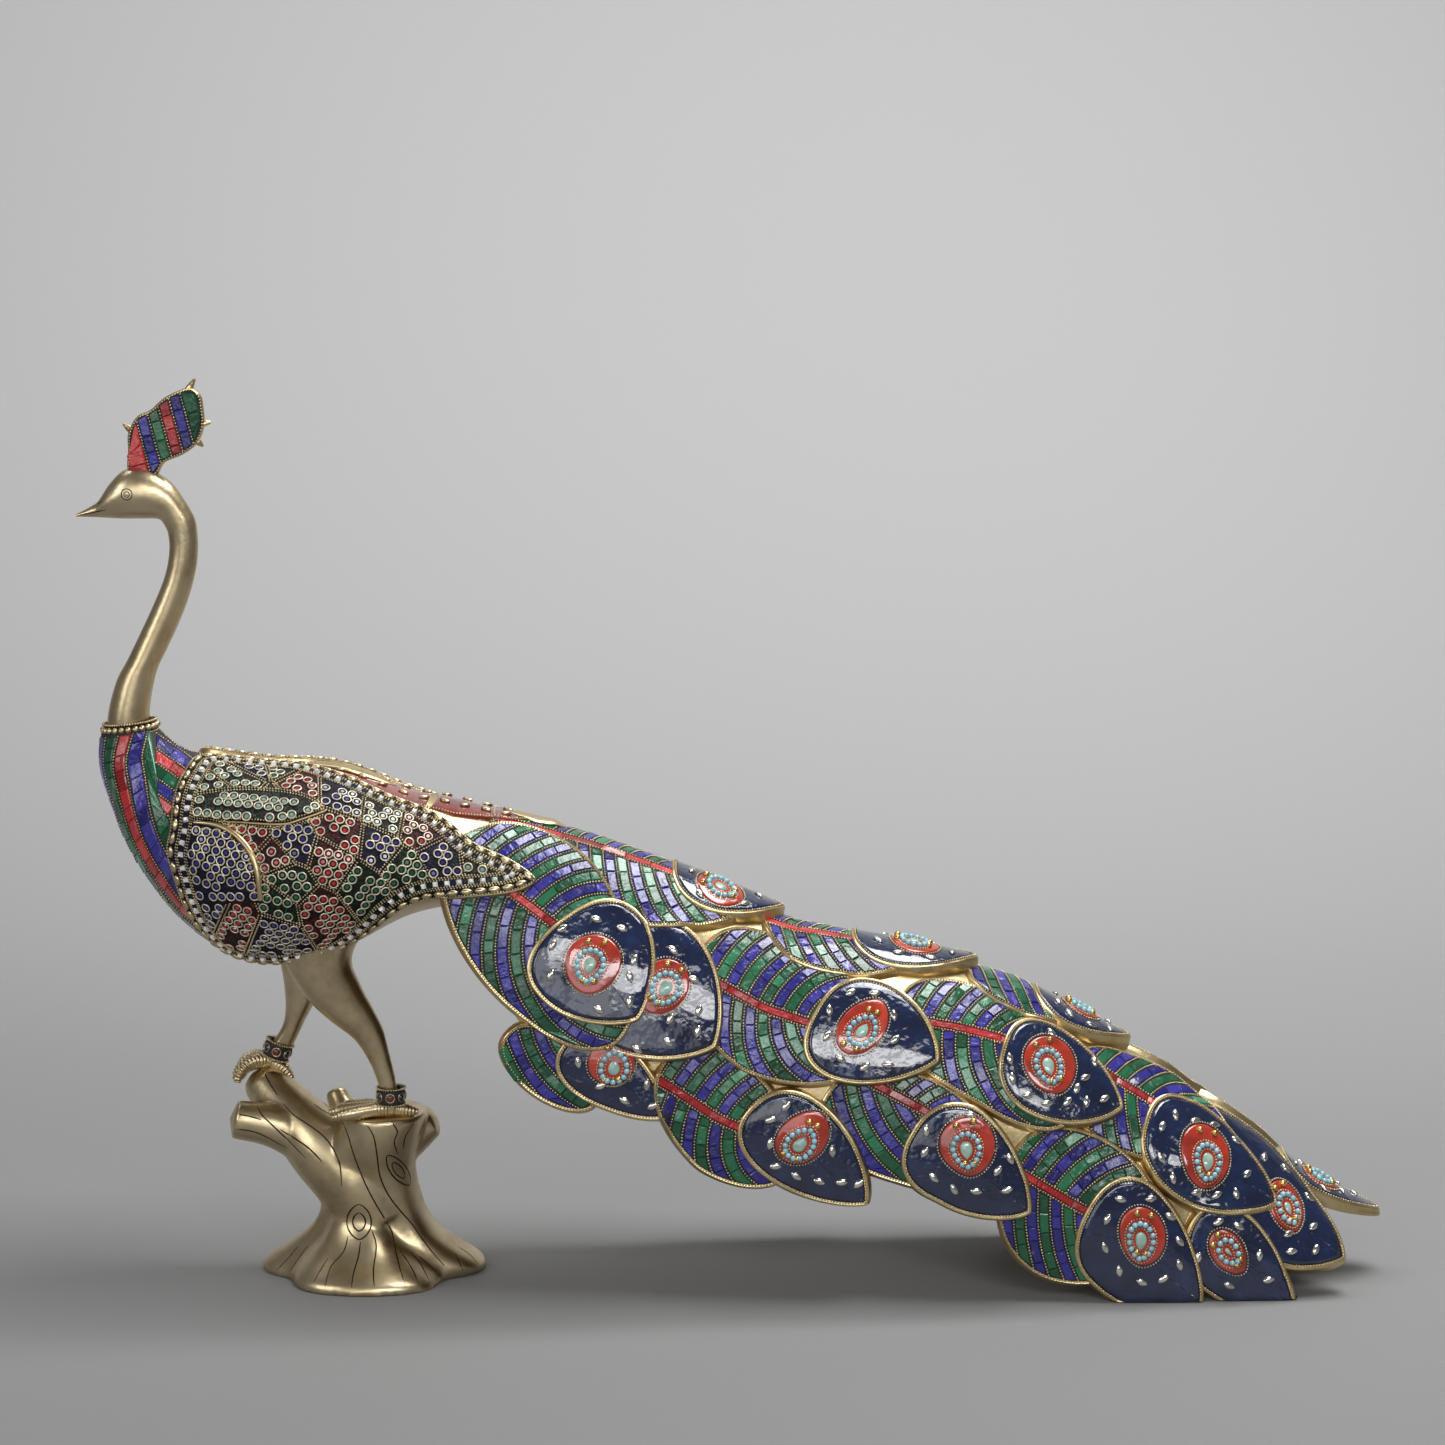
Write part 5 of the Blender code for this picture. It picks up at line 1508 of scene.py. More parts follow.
class PEACOCK_OT_neck(bpy.types.Operator):
    """Casts the neck, head and beak, and engraves the eyes, nostrils and mouth"""
    bl_idname = "peacock.neck"
    bl_label = "Neck and head"

    def execute(self, context):
        f = finishes()
        made = bare(wrapped(section_rings(neck_rows(9), 56)))
        graph = context.evaluated_depsgraph_get()
        tree = BVHTree.FromObject(made, graph)

        def on_side(x, z, out=0.0):
            hit = tree.ray_cast(Vector((x, -0.1, z)), Vector((0, 1, 0)))
            return hit[0] + hit[1] * out

        cutters = []
        for radius, size in ((0.0048, 0.00045), (0.0024, 0.00035)):
            line = [(*on_side(-0.2035 + radius * math.cos(t), 0.6975 + radius * math.sin(t)), size)
                    for t in np.linspace(0.06, 0.06 + 2 * math.pi, 33)]
            cutters.append(tube(line, 6))
        mouth = [(*on_side(x, z), size) for x, z, size in
                 ((-0.2225, 0.6835, 0.0003), (-0.2285, 0.6822, 0.0005), (-0.2350, 0.6806, 0.0005),
                  (-0.2420, 0.6794, 0.0004), (-0.2470, 0.6785, 0.0003))]
        cutters.append(tube(smooth_rows(mouth, 4), 6))
        nostril = [(*on_side(x, z), 0.0005) for x, z in
                   ((-0.2268, 0.6905), (-0.2290, 0.6893), (-0.2310, 0.6880))]
        cutters.append(tube(nostril, 6))
        cutters += [mirrored(c) for c in cutters]
        materials = cut_lines(made, cutters, f["dark line"], [f["brass"]])
        finished(made, "neck_casting", materials, "peacock", 30)
        corners, faces = fine_ball()
        spots = [on_side(-0.2035, 0.6975, -0.0004)]
        domes = [repeated((corners * (0.0015, 0.0010, 0.0015), faces), spots)]
        piece("eye_domes", domes + [mirrored(domes[0])], [f["brass"]], "peacock")
        return {"FINISHED"}


# Stump

TRUNK_RINGS = [(0.000, 0.000, 0.000, 1.00, 1.00), (0.007, 0.000, 0.000, 0.99, 0.98),
               (0.015, 0.000, 0.000, 0.90, 0.88), (0.026, 0.000, 0.000, 0.74, 0.72),
               (0.038, 0.000, 0.000, 0.58, 0.60), (0.052, 0.000, -0.001, 0.49, 0.50),
               (0.068, -0.002, -0.003, 0.455, 0.46), (0.084, -0.004, -0.005, 0.44, 0.44),
               (0.104, -0.004, -0.008, 0.43, 0.45), (0.126, 0.004, -0.011, 0.41, 0.49),
               (0.143, 0.010, -0.012, 0.40, 0.50), (0.149, 0.010, -0.012, 0.385, 0.485)]

# Folds that run up between the roots: degrees round the foot, degrees per metre, depth.
FOLDS = [(325, -640, 0.19), (212, -120, 0.17), (152, 80, 0.12), (92, 200, 0.14), (36, 300, 0.13)]

# Engraved bark lines, X and Z on the bark plane as seen from the front.
BARK = [
    [(-.090, .193), (-.083, .179), (-.067, .156), (-.052, .145), (-.038, .134), (-.029, .121),
     (-.024, .107), (-.023, .089)],
    [(-.100, .174), (-.094, .156), (-.082, .143), (-.068, .129), (-.054, .114)],
    [(-.076, .140), (-.059, .129), (-.049, .121), (-.040, .111)],
    [(-.046, .163), (-.036, .156), (-.023, .149), (-.017, .136), (-.012, .118), (-.005, .098),
     (.004, .078), (.014, .060), (.021, .047), (.024, .030), (.028, .012), (.034, -.010)],
    [(-.002, .147), (.006, .134), (.009, .114), (.011, .098), (.018, .081), (.028, .067),
     (.039, .054), (.046, .043), (.056, .029), (.067, .016)],
    [(.022, .147), (.027, .138), (.024, .129), (.027, .118)],
    [(.042, .147), (.034, .134), (.032, .123)],
    [(-.018, .043), (-.022, .029), (-.033, .016), (-.038, .001), (-.040, -.012)],
    [(-.007, .038), (-.009, .025), (-.014, .007), (-.016, -.010)],
    [(.003, .049), (.007, .034), (.004, .012), (.005, -.010)],
    [(-.062, .034), (-.071, .023), (-.081, .012), (-.082, .006)],
    [(-.054, .034), (-.063, .021), (-.072, .007)],
    [(-.036, .023), (-.045, .008), (-.049, .001)],
    [(.028, .030), (.038, .014), (.047, -.008)],
    [(.037, .029), (.047, .016), (.057, -.008)],
    [(.045, .025), (.058, .012), (.068, -.004)],
    [(.077, .027), (.083, .012)], [(.079, .034), (.091, .025), (.100, .012)],
    [(-.114, .154), (-.103, .152), (-.093, .149)],
    [(-.116, .141), (-.099, .138), (-.084, .131), (-.071, .123)],
]
KNOTS = [(-0.008, 0.056, 0.0160, 0.0108, 90), (0.0275, 0.103, 0.0165, 0.0070, -54)]


class PEACOCK_OT_stump(bpy.types.Operator):
    """Casts the stump with its roots and sawn branches, and engraves the bark and knots"""
    bl_idname = "peacock.stump"
    bl_label = "Stump"

    def execute(self, context):
        f = finishes()
        turn = np.linspace(0, 2 * math.pi, 90, endpoint=False)
        rings = []
        for z, x, y, long, wide in smooth_rows(TRUNK_RINGS, 4):
            wave = np.ones(len(turn))
            for start, twist, deep in FOLDS:
                away = (np.degrees(turn) - start - twist * z + 180) % 360 - 180
                wave -= deep * np.interp(z, (0, 0.03, 0.06, 0.11, 0.15), (1, 1, 0.8, 0.5, 0.15)) \
                    * np.exp(-(away / 17) ** 2)
            rings.append(np.stack([x + 0.101 * long * wave * np.cos(turn),
                                   y + 0.091 * wide * wave * np.sin(turn),
                                   np.full(len(turn), max(z, 0.0))], 1))
        parts = [wrapped(rings)]
        top, far = STUMP_HEIGHT, LEG_SPREAD
        paths = [[(0.004, -0.008, 0.050, 0.036), (-0.016, -0.010, 0.086, 0.037),
                  (-0.042, -0.004, 0.110, 0.033), (-0.066, 0.010, 0.131, 0.0275),
                  (-0.088, 0.026, top + 0.001, 0.0225), (-0.102, far - 0.002, top + 0.013, 0.0180),
                  (-0.108, far, top + 0.019, 0.0130)],
                 [(-0.010, 0.004, 0.100, 0.034), (-0.050, 0.004, 0.116, 0.0265),
                  (-0.088, -0.002, 0.131, 0.0195), (-0.1215, -0.006, 0.138, 0.0172)],
                 [(0.000, 0.000, 0.112, 0.036), (0.030, 0.000, 0.124, 0.025),
                  (0.0555, 0.000, 0.136, 0.0138)],
                 [(-0.020, 0.030, 0.120, 0.0180), (-0.032, 0.042, 0.140, 0.0115),
                  (-0.037, 0.048, 0.150, 0.0098)]]
        for path in paths:
            parts.append(tube(smooth_rows(path, 6), 40))
        made = fused(joined(parts), 0.0020, 7)
        co = np.zeros(len(made.data.vertices) * 3, np.float32)
        made.data.vertices.foreach_get("co", co)
        co = co.reshape(-1, 3)
        co[:, 2] = np.maximum(co[:, 2], 0.0)
        made.data.vertices.foreach_set("co", co.ravel())
        made.data.update()
        graph = context.evaluated_depsgraph_get()
        skin = SeenSkin(BVHTree.FromObject(made, graph), BARK_PLANE)
        cutters = []
        lines = [np.array(line) for line in BARK]
        for x, z, long, wide, turn_deg in KNOTS:
            for share in (1.0, 0.52):
                angles = np.linspace(0.02, 0.02 + 2 * math.pi, 30)
                u, v = np.cos(angles), np.sin(angles) * np.abs(np.sin(angles)) ** 0.35
                cos, sin = math.cos(math.radians(turn_deg)), math.sin(math.radians(turn_deg))
                lines.append(np.stack([x + share * (long * u * cos - wide * v * sin),
                                       z + share * (long * u * sin + wide * v * cos)], 1))
        for line in lines:
            row = smooth_rows(line, 3)
            spots = skin.at(row[:, 0], row[:, 1], 0.0)
            spots = spots[~np.isnan(spots).any(axis=1)]
            spots = spots[spots[:, 2] > 0.0035]
            jumps = np.linalg.norm(np.diff(spots, axis=0), axis=1)
            for run in np.split(spots, np.flatnonzero(jumps > 0.012) + 1):
                if len(run) < 4:
                    continue
                size = np.interp(np.linspace(0, 1, len(run)), (0, 0.15, 0.85, 1),
                                 (0.0004, 0.00075, 0.00075, 0.0004))
                cutters.append(tube(np.column_stack([run, size]), 6))
        cutters += [mirrored(c) for c in cutters if c["corners"][:, 1].max() < -0.012]
        materials = cut_lines(made, cutters, f["dark line"], [f["brass"]])
        finished(made, "stump_casting", materials, "tree_stump", 45)
        return {"FINISHED"}


# Wings

WING_OUTLINE = [(-0.169, 0), (-0.165, 18), (-0.163, 38), (-0.156, 58), (-0.143, 79), (-0.104, 85),
                (-0.061, 84), (-0.025, 75), (0.022, 67), (0.048, 65), (0.075, 57), (0.098, 45),
                (0.130, 39), (0.152, 29), (0.131, 17), (0.085, 7), (0.056, 0), (0.031, -14),
                (0.001, -40), (-0.031, -56), (-0.065, -62), (-0.106, -68), (-0.126, -67),
                (-0.141, -58), (-0.155, -41), (-0.164, -18)]
WING_HEART = (-0.045, 12)
WING_LIFT = 0.0055
WING_ROUND = 0.092 * math.pi / 180     # length of one degree round the wing
# Patches of rings: colour, and X and Z on the front plane of each patch's middle.
PATCHES = [
    ("blue", -.093, .472), ("green", -.063, .471), ("pale", -.096, .458), ("red", -.052, .455),
    ("blue", -.013, .443), ("pale", -.108, .437), ("pale", -.075, .437), ("red", -.092, .411),
    ("red", -.072, .392), ("blue", -.056, .404), ("red", -.014, .415), ("red", -.024, .386),
    ("green", -.059, .371), ("green", -.073, .349), ("green", .003, .364), ("blue", -.128, .402),
    ("blue", -.105, .388), ("blue", -.123, .360), ("green", -.138, .375), ("red", -.101, .345),
    ("blue", -.073, .327), ("red", -.032, .343), ("pale", .022, .428), ("red", .053, .413),
    ("blue", .019, .401), ("blue", .068, .391), ("green", .040, .382), ("pale", .109, .384),
]
PATCH_COLOURS = {"blue": (0.030, 0.026, 0.240), "green": (0.012, 0.120, 0.045),
                 "red": (0.420, 0.020, 0.025), "pale": (0.130, 0.190, 0.130)}
CRESCENT = [(-.141, .421), (-.123, .419), (-.106, .411), (-.093, .396), (-.087, .378), (-.085, .354)]
FOLD = [(-.140, .426), (-.120, .423), (-.101, .422), (-.065, .420), (-.050, .424), (-.029, .431)]
FOLD_TOP = [(-.140, .430), (-.137, .447), (-.101, .451), (-.058, .448), (-.037, .441), (-.029, .431)]


def middle_height(x):
    """Height of the body's middle line, which runs on inside the train."""
    return np.interp(x, (-0.17, -0.05, 0.15), (0.394, 0.372, 0.330))


class Wing:
    """The near wing: an even skin over body and train, its outline and its seams."""

    def __init__(self):
        body = bare(wrapped(section_rings(body_rows(2), 20)), "probe")
        train = parts_of("train")
        shell = bare(joined([train.sheet()] + [train.plate(x) for x in train.leaves]), "probe")
        graph = bpy.context.evaluated_depsgraph_get()
        trees = [BVHTree.FromObject(o, graph) for o in (body, shell)]
        for o in (body, shell):
            bpy.data.objects.remove(o, do_unlink=True)
        xs, turns = np.linspace(-0.19, 0.17, 37), np.linspace(-90, 100, 39)
        out = np.zeros((37, 39))
        for i, x in enumerate(xs):
            middle = Vector((x, 0, float(middle_height(x))))
            for j, turn in enumerate(np.radians(turns)):
                towards = Vector((0, -math.cos(turn), math.sin(turn)))
                for tree in trees:
                    hit = tree.ray_cast(middle + towards * 0.4, -towards)[0]
                    if hit is not None:
                        out[i, j] = max(out[i, j], (hit - middle).length)
        for _ in range(3):
            for axis in (0, 1):
                pad = ((1, 1), (0, 0)) if axis == 0 else ((0, 0), (1, 1))
                wide = np.pad(out, pad, mode="edge")
                before, after = (wide[:-2], wide[2:]) if axis == 0 else (wide[:, :-2], wide[:, 2:])
                out = np.maximum(0.5 * out + 0.25 * (before + after), out - 0.002)
        us, vs = np.linspace(-0.19, 0.17, 181), np.linspace(-90, 100, 191)
        grid_x, grid_t = np.meshgrid(us, vs, indexing="ij")
        out = read_grid(xs, turns, out, grid_x, grid_t)
        for _ in range(12):
            wide = np.pad(out, 1, mode="edge")
            out = (wide[:-2, 1:-1] + wide[2:, 1:-1] + wide[1:-1, :-2] + wide[1:-1, 2:]) / 4
        points = self.around(grid_x, grid_t, out)
        seen_x, seen_z = seen(points)
        out = out + WING_LIFT + self.relief(seen_x, seen_z)
        points = self.around(grid_x, grid_t, out)
        self.skin = Skin(us, vs, points, 1.0)
        if self.skin.normal(-0.05, 10)[1] > 0:
            self.skin.normals *= -1
        AHEAD_SCALE[id(self.skin)] = (1.0, 1.0 / WING_ROUND)
        line = smooth_rows(WING_OUTLINE, 6, closed=True)
        self.outline = line * (1, WING_ROUND)

    @staticmethod
    def around(x, turn, out):
        turn = np.radians(turn)
        return np.stack([x, -out * np.cos(turn), middle_height(x) + out * np.sin(turn)], -1)

    @staticmethod
    def relief(x, z):
        """Raised shoulder fold and the bulging patch in front of the crescent."""
        low = np.interp(x, *zip(*FOLD))
        top = np.interp(x, *zip(*FOLD_TOP))
        ends = np.clip((x + 0.150) / 0.012, 0, 1) * np.clip((-0.027 - x) / 0.02, 0, 1)
        share = np.clip((top + 0.004 - z) / (top + 0.004 - low + 1e-6), 0, 1)
        fold = 0.0050 * share ** 0.8 * ends * np.clip((z - low) / 0.0016 + 1.0, 0, 1)
        cx, cz = zip(*CRESCENT[::-1])
        edge = np.interp(z, cz, cx)
        lens = 0.0030 * np.clip((edge - x) / 0.010, 0, 1) * np.clip((0.424 - z) / 0.006, 0, 1)
        lens *= np.clip((z - 0.352) / 0.008, 0, 1) * np.clip((x + 0.152) / 0.012, 0, 1)
        return fold + lens

    def depth(self, x, turn):
        return outline_depth(self.outline, x, np.asarray(turn) * WING_ROUND)

    def casting(self):
        """The wing's closed plate, with its bed painted in patches."""
        heart = np.array(WING_HEART) * (1, WING_ROUND)
        rings = []
        shares = np.linspace(0.02, 1.0, 46)
        inner = inset(self.outline, 0.0016)
        for share in shares:
            line = heart + (inner - heart) * share
            rings.append(self.skin.at(line[:, 0], line[:, 1] / WING_ROUND, 0.0))
        for by, drop in ((0.0006, 0.0005), (0.0, 0.0022)):
            line = inset(self.outline, by)
            rings.append(self.skin.at(line[:, 0], line[:, 1] / WING_ROUND, -drop))
        deep = np.interp(self.outline[:, 0], (0.02, 0.06), (0.017, 0.0065))
        line = self.outline
        rings.append(self.skin.at(line[:, 0], line[:, 1] / WING_ROUND, -deep))
        line = heart + (self.outline - heart) * 0.5
        rings.append(self.skin.at(line[:, 0], line[:, 1] / WING_ROUND,
                                  -np.interp(line[:, 0], (0.02, 0.06), (0.017, 0.0065))))
        made = wrapped(rings)
        made["finish"] = (made["level"][made["faces"]].max(1) < 47).astype(int)
        return made


PATCH_STRETCH = np.array([(1.03, 0.16), (0.16, 1.02)])   # patches lie slanting, longer one way
SHOULDER, FRONT_LENS = 5, 15      # patches bounded by the fold and by the crescent


def lens_depths(x, z):
    """How far inside the shoulder lens and the front lens spots are; negative outside."""
    low, top = np.interp(x, *zip(*FOLD)), np.interp(x, *zip(*FOLD_TOP))
    cx, cz = zip(*CRESCENT[::-1])
    shoulder = np.minimum(np.minimum(z - low, top - z), -0.027 - x)
    front = np.minimum(np.minimum(np.interp(z, cz, cx) - x, 0.423 - z), z - 0.352)
    return shoulder, front


def nearest_patch(x, z):
    """The patch at each spot and the distance to the nearest seam."""
    middles = np.array([(p[1], p[2]) for p in PATCHES]) @ PATCH_STRETCH
    away = np.linalg.norm((np.stack([x, z], -1) @ PATCH_STRETCH)[..., None, :] - middles, axis=-1)
    order = np.argsort(away, axis=-1)[..., :2]
    near, far = (np.take_along_axis(away, order[..., k:k + 1], -1)[..., 0] for k in (0, 1))
    between = np.linalg.norm(middles[order[..., 0]] - middles[order[..., 1]], axis=-1)
    which, seam = order[..., 0], (far ** 2 - near ** 2) / (2 * between)
    for patch, inside in zip((SHOULDER, FRONT_LENS), lens_depths(x, z)):
        which = np.where(inside > 0, patch, which)
        seam = np.where(inside > 0, inside, np.minimum(seam, -inside))
    return which, seam


def wing_border(wing):
    """Bead wires, almond chain and crystals round the wing's edge."""
    def line(by):
        fine = smooth_rows(inset(wing.outline, by), 2, closed=True)
        return fine[:, 0], fine[:, 1] / WING_ROUND

    beads, chain, gems = [], [], []
    for by in (0.0022, 0.0095, 0.0112, 0.0182, 0.0200):
        u, v = line(by)
        beads.append(wire(wing.skin, u, v, 0.0004,
                          lambda a, b, by=by: wing.depth(a, b) > by - 0.0007, True))
    for by, step, store in ((0.0054, 0.0120, chain), (0.0146, 0.0104, gems)):
        u, v = line(by)
        spots = wing.skin.at(u, v, 0.0)
        reach = np.concatenate([[0], np.cumsum(np.linalg.norm(np.diff(spots, axis=0), axis=1))])
        count = int(reach[-1] / step)
        stops = np.linspace(0, reach[-1], count, endpoint=False)
        at_u, at_v = np.interp(stops, reach, u), np.interp(stops, reach, v)
        ahead_u = np.interp(stops + 0.001, reach, u) - at_u
        ahead_v = (np.interp(stops + 0.001, reach, v) - at_v) * WING_ROUND
        keep = wing.depth(at_u, at_v) > by - 0.0008
        store += [at_u[keep], at_v[keep], np.arctan2(ahead_v, ahead_u)[keep]]
    return beads, chain, gems


class PEACOCK_OT_wings(bpy.types.Operator):
    """Casts both wings and sets their rings, stones, crystals and bead wires"""
    bl_idname = "peacock.wings"
    bl_label = "Wings"

    def execute(self, context):
        f = finishes()
        wing = parts_of("wing")
        plate = wing.casting()
        made = piece("wing_castings", [plate, mirrored(plate)], [f["lip"], f["chips"]],
                     "peacock", 40)
        co = np.zeros(len(made.data.vertices) * 3, np.float32)
        made.data.vertices.foreach_get("co", co)
        co = co.reshape(-1, 3) - (STUMP_X, 0, 0)
        co[:, 1] = -np.abs(co[:, 1])
        which, _ = nearest_patch(*seen(co))
        tints = np.array([PATCH_COLOURS[p[0]] for p in PATCHES])[which]
        plan = made.data.attributes.new("patch", "FLOAT_COLOR", "POINT")
        tints = np.column_stack([tints, np.ones(len(tints))]).astype(np.float32)
        plan.data.foreach_set("color", tints.ravel())

        beads, chain, gems = wing_border(wing)
        almonds = set_on(almond(), wing.skin, *chain, (0.0056, 0.0030, 0.0022), 0.0006)
        piece("wing_chain", [almonds, mirrored(almonds)], [f["wire"]])
        crystals = set_on(facet_square(), wing.skin, *gems, (0.0035, 0.0035, 0.0028), 0.0004)
        piece("wing_crystals", [crystals, mirrored(crystals)], [f["crystal"]], None, 20)

        step = inlay().ring
        rows = np.arange(-0.110, 0.150, step * 0.866)
        spots = []
        for k, row in enumerate(rows):
            xs = np.arange(-0.175, 0.160, step) + (k % 2) * step / 2
            spots.append(np.stack([xs, np.full(len(xs), row)], 1))
        spots = np.concatenate(spots)
        rng = np.random.default_rng(3)
        spots += rng.uniform(-0.0003, 0.0003, spots.shape)
        spots = spots[outline_depth(wing.outline, *spots.T) > 0.0205]

        def patch_at(spots):
            return nearest_patch(*seen(wing.skin.at(spots[:, 0], spots[:, 1] / WING_ROUND)))

        def room(spots):
            return np.minimum(patch_at(spots)[1] - 0.0047,
                              outline_depth(wing.outline, *spots.T) - 0.0246)

        for _ in range(4):
            slope = np.stack([room(spots + d) - room(spots - d) for d in np.eye(2) * 0.0005], 1)
            slope /= np.maximum(np.linalg.norm(slope, axis=1, keepdims=True), 1e-9)
            spots = spots + slope * np.clip(0.0002 - room(spots), 0, 0.003)[:, None]
        kept = []
        for spot in spots[room(spots) > -0.0003]:
            if all(np.hypot(*(spot - other)) > 0.0077 for other in kept):
                kept.append(spot)
        spots = np.array(kept)
        u, v = spots[:, 0], spots[:, 1] / WING_ROUND
        which = patch_at(spots)[0]
        hoops = set_on(hoop(1.0, 0.19), wing.skin, u, v, np.zeros(len(u)), (0.0037, 0.0037, 0.0037), 0.0009)
        piece("wing_rings", [hoops, mirrored(hoops)], [f["ring"]])
        for colour in ("blue", "green", "red", "pale"):
            mine = np.array([PATCHES[w][0] == colour for w in which])
            gem = set_on(low_dome(), wing.skin, u[mine], v[mine], np.zeros(mine.sum()),
                         (0.0026, 0.0026, 0.0030), 0.0006)
            piece(f"wing_stones_{colour}", [gem, mirrored(gem)], [f[f"{colour} gem"]],
                  None, 30)

        whole = bare(plate, "probe")
        graph = context.evaluated_depsgraph_get()
        look = SeenSkin(BVHTree.FromObject(whole, graph))
        bpy.data.objects.remove(whole, do_unlink=True)
        beads += self.seams(wing, look)
        beads = [b for b in beads if len(b)]
        lot = beads_at(beads, 0.00098)
        piece("wing_wires", [lot, mirrored(lot)], [f["wire"]])
        bars = []
        for line, radius in ((CRESCENT, 0.0030), (FOLD[1:], 0.0013)):
            row = smooth_rows(line, 8)
            spots = look.at(row[:, 0], row[:, 1], radius * 0.35)
            spots = spots[~np.isnan(spots).any(axis=1)]
            for _ in range(6):
                spots[1:-1] = (spots[:-2] + 2 * spots[1:-1] + spots[2:]) / 4
            size = radius * np.interp(np.linspace(0, 1, len(spots)), (0, 0.2, 0.6, 1), (0.35, 0.8, 1, 0.8))
            bars.append(tube(np.column_stack([spots, size]), 12))
        piece("wing_bars", bars + [mirrored(b) for b in bars], [f["lip"]], None, 40)
        return {"FINISHED"}

    @staticmethod
    def seams(wing, look):
        """Double bead wires along the seams between patches, the fold and the crescent."""
        middles = np.array([(p[1], p[2]) for p in PATCHES]) @ PATCH_STRETCH
        back = np.linalg.inv(PATCH_STRETCH)
        lines = []
        for i in range(len(middles)):
            for j in range(i + 1, len(middles)):
                ahead = middles[j] - middles[i]
                gap = np.linalg.norm(ahead)
                if gap > 0.075:
                    continue
                side = np.array([-ahead[1], ahead[0]]) / gap
                s = np.arange(-0.05, 0.05, 0.001)
                line = (middles[i] + middles[j]) / 2 + s[:, None] * side
                away = np.linalg.norm(line[:, None] - middles[None], axis=2)
                mine = away[:, i].copy()
                away[:, [i, j]] = 9
                run = longest_run(mine < away.min(1))
                if run is None or run[1] - run[0] < 5:
                    continue
                for off in (-0.00125, 0.00125):
                    row = (line[run[0]:run[1] + 1] + ahead / gap * off) @ back
                    clear = longest_run(np.maximum(*lens_depths(*row.T)) < -0.001)
                    if clear is not None:
                        lines.append(row[clear[0]:clear[1] + 1])
        for line, offs in ((CRESCENT, (-0.0046, 0.0046, 0.0066)), (FOLD, (-0.0026, -0.0044, 0.0030)),
                           (FOLD_TOP[1:], (-0.001, 0.001))):
            row = smooth_rows(line, 6)
            for off in offs:
                ahead = np.gradient(row, axis=0)
                ahead /= np.linalg.norm(ahead, axis=1, keepdims=True)
                lines.append(row + np.stack([-ahead[:, 1], ahead[:, 0]], 1) * off)
        found = []
        for row in lines:
            points = look.at(row[:, 0], row[:, 1], 0.0004)
            good = ~np.isnan(points).any(axis=1)
            points = points[good]
            if len(points) < 3:
                continue
            turn = np.degrees(np.arctan2(points[:, 2] - middle_height(points[:, 0]), -points[:, 1]))
            points = points[wing.depth(points[:, 0], turn) > 0.0207]
            if len(points) < 3:
                continue
            reach = np.concatenate([[0], np.cumsum(np.linalg.norm(np.diff(points, axis=0), axis=1))])
            stops = np.arange(0, reach[-1], inlay().bead_step)
            found.append(np.stack([np.interp(stops, reach, points[:, k]) for k in range(3)], 1))
        return found


# Breast

BREAST_LINES = (0.005, 0.017, 0.029, 0.0405, 0.053, 0.065)
BREAST_COLOURS = ("blue", "green", "red", "blue", "green")
SLANT_REGION = [(-.173, .508), (-.160, .512), (-.140, .500), (-.126, .486), (-.134, .471),
                (-.142, .460), (-.149, .448), (-.156, .436), (-.164, .424), (-.171, .441),
                (-.173, .470)]


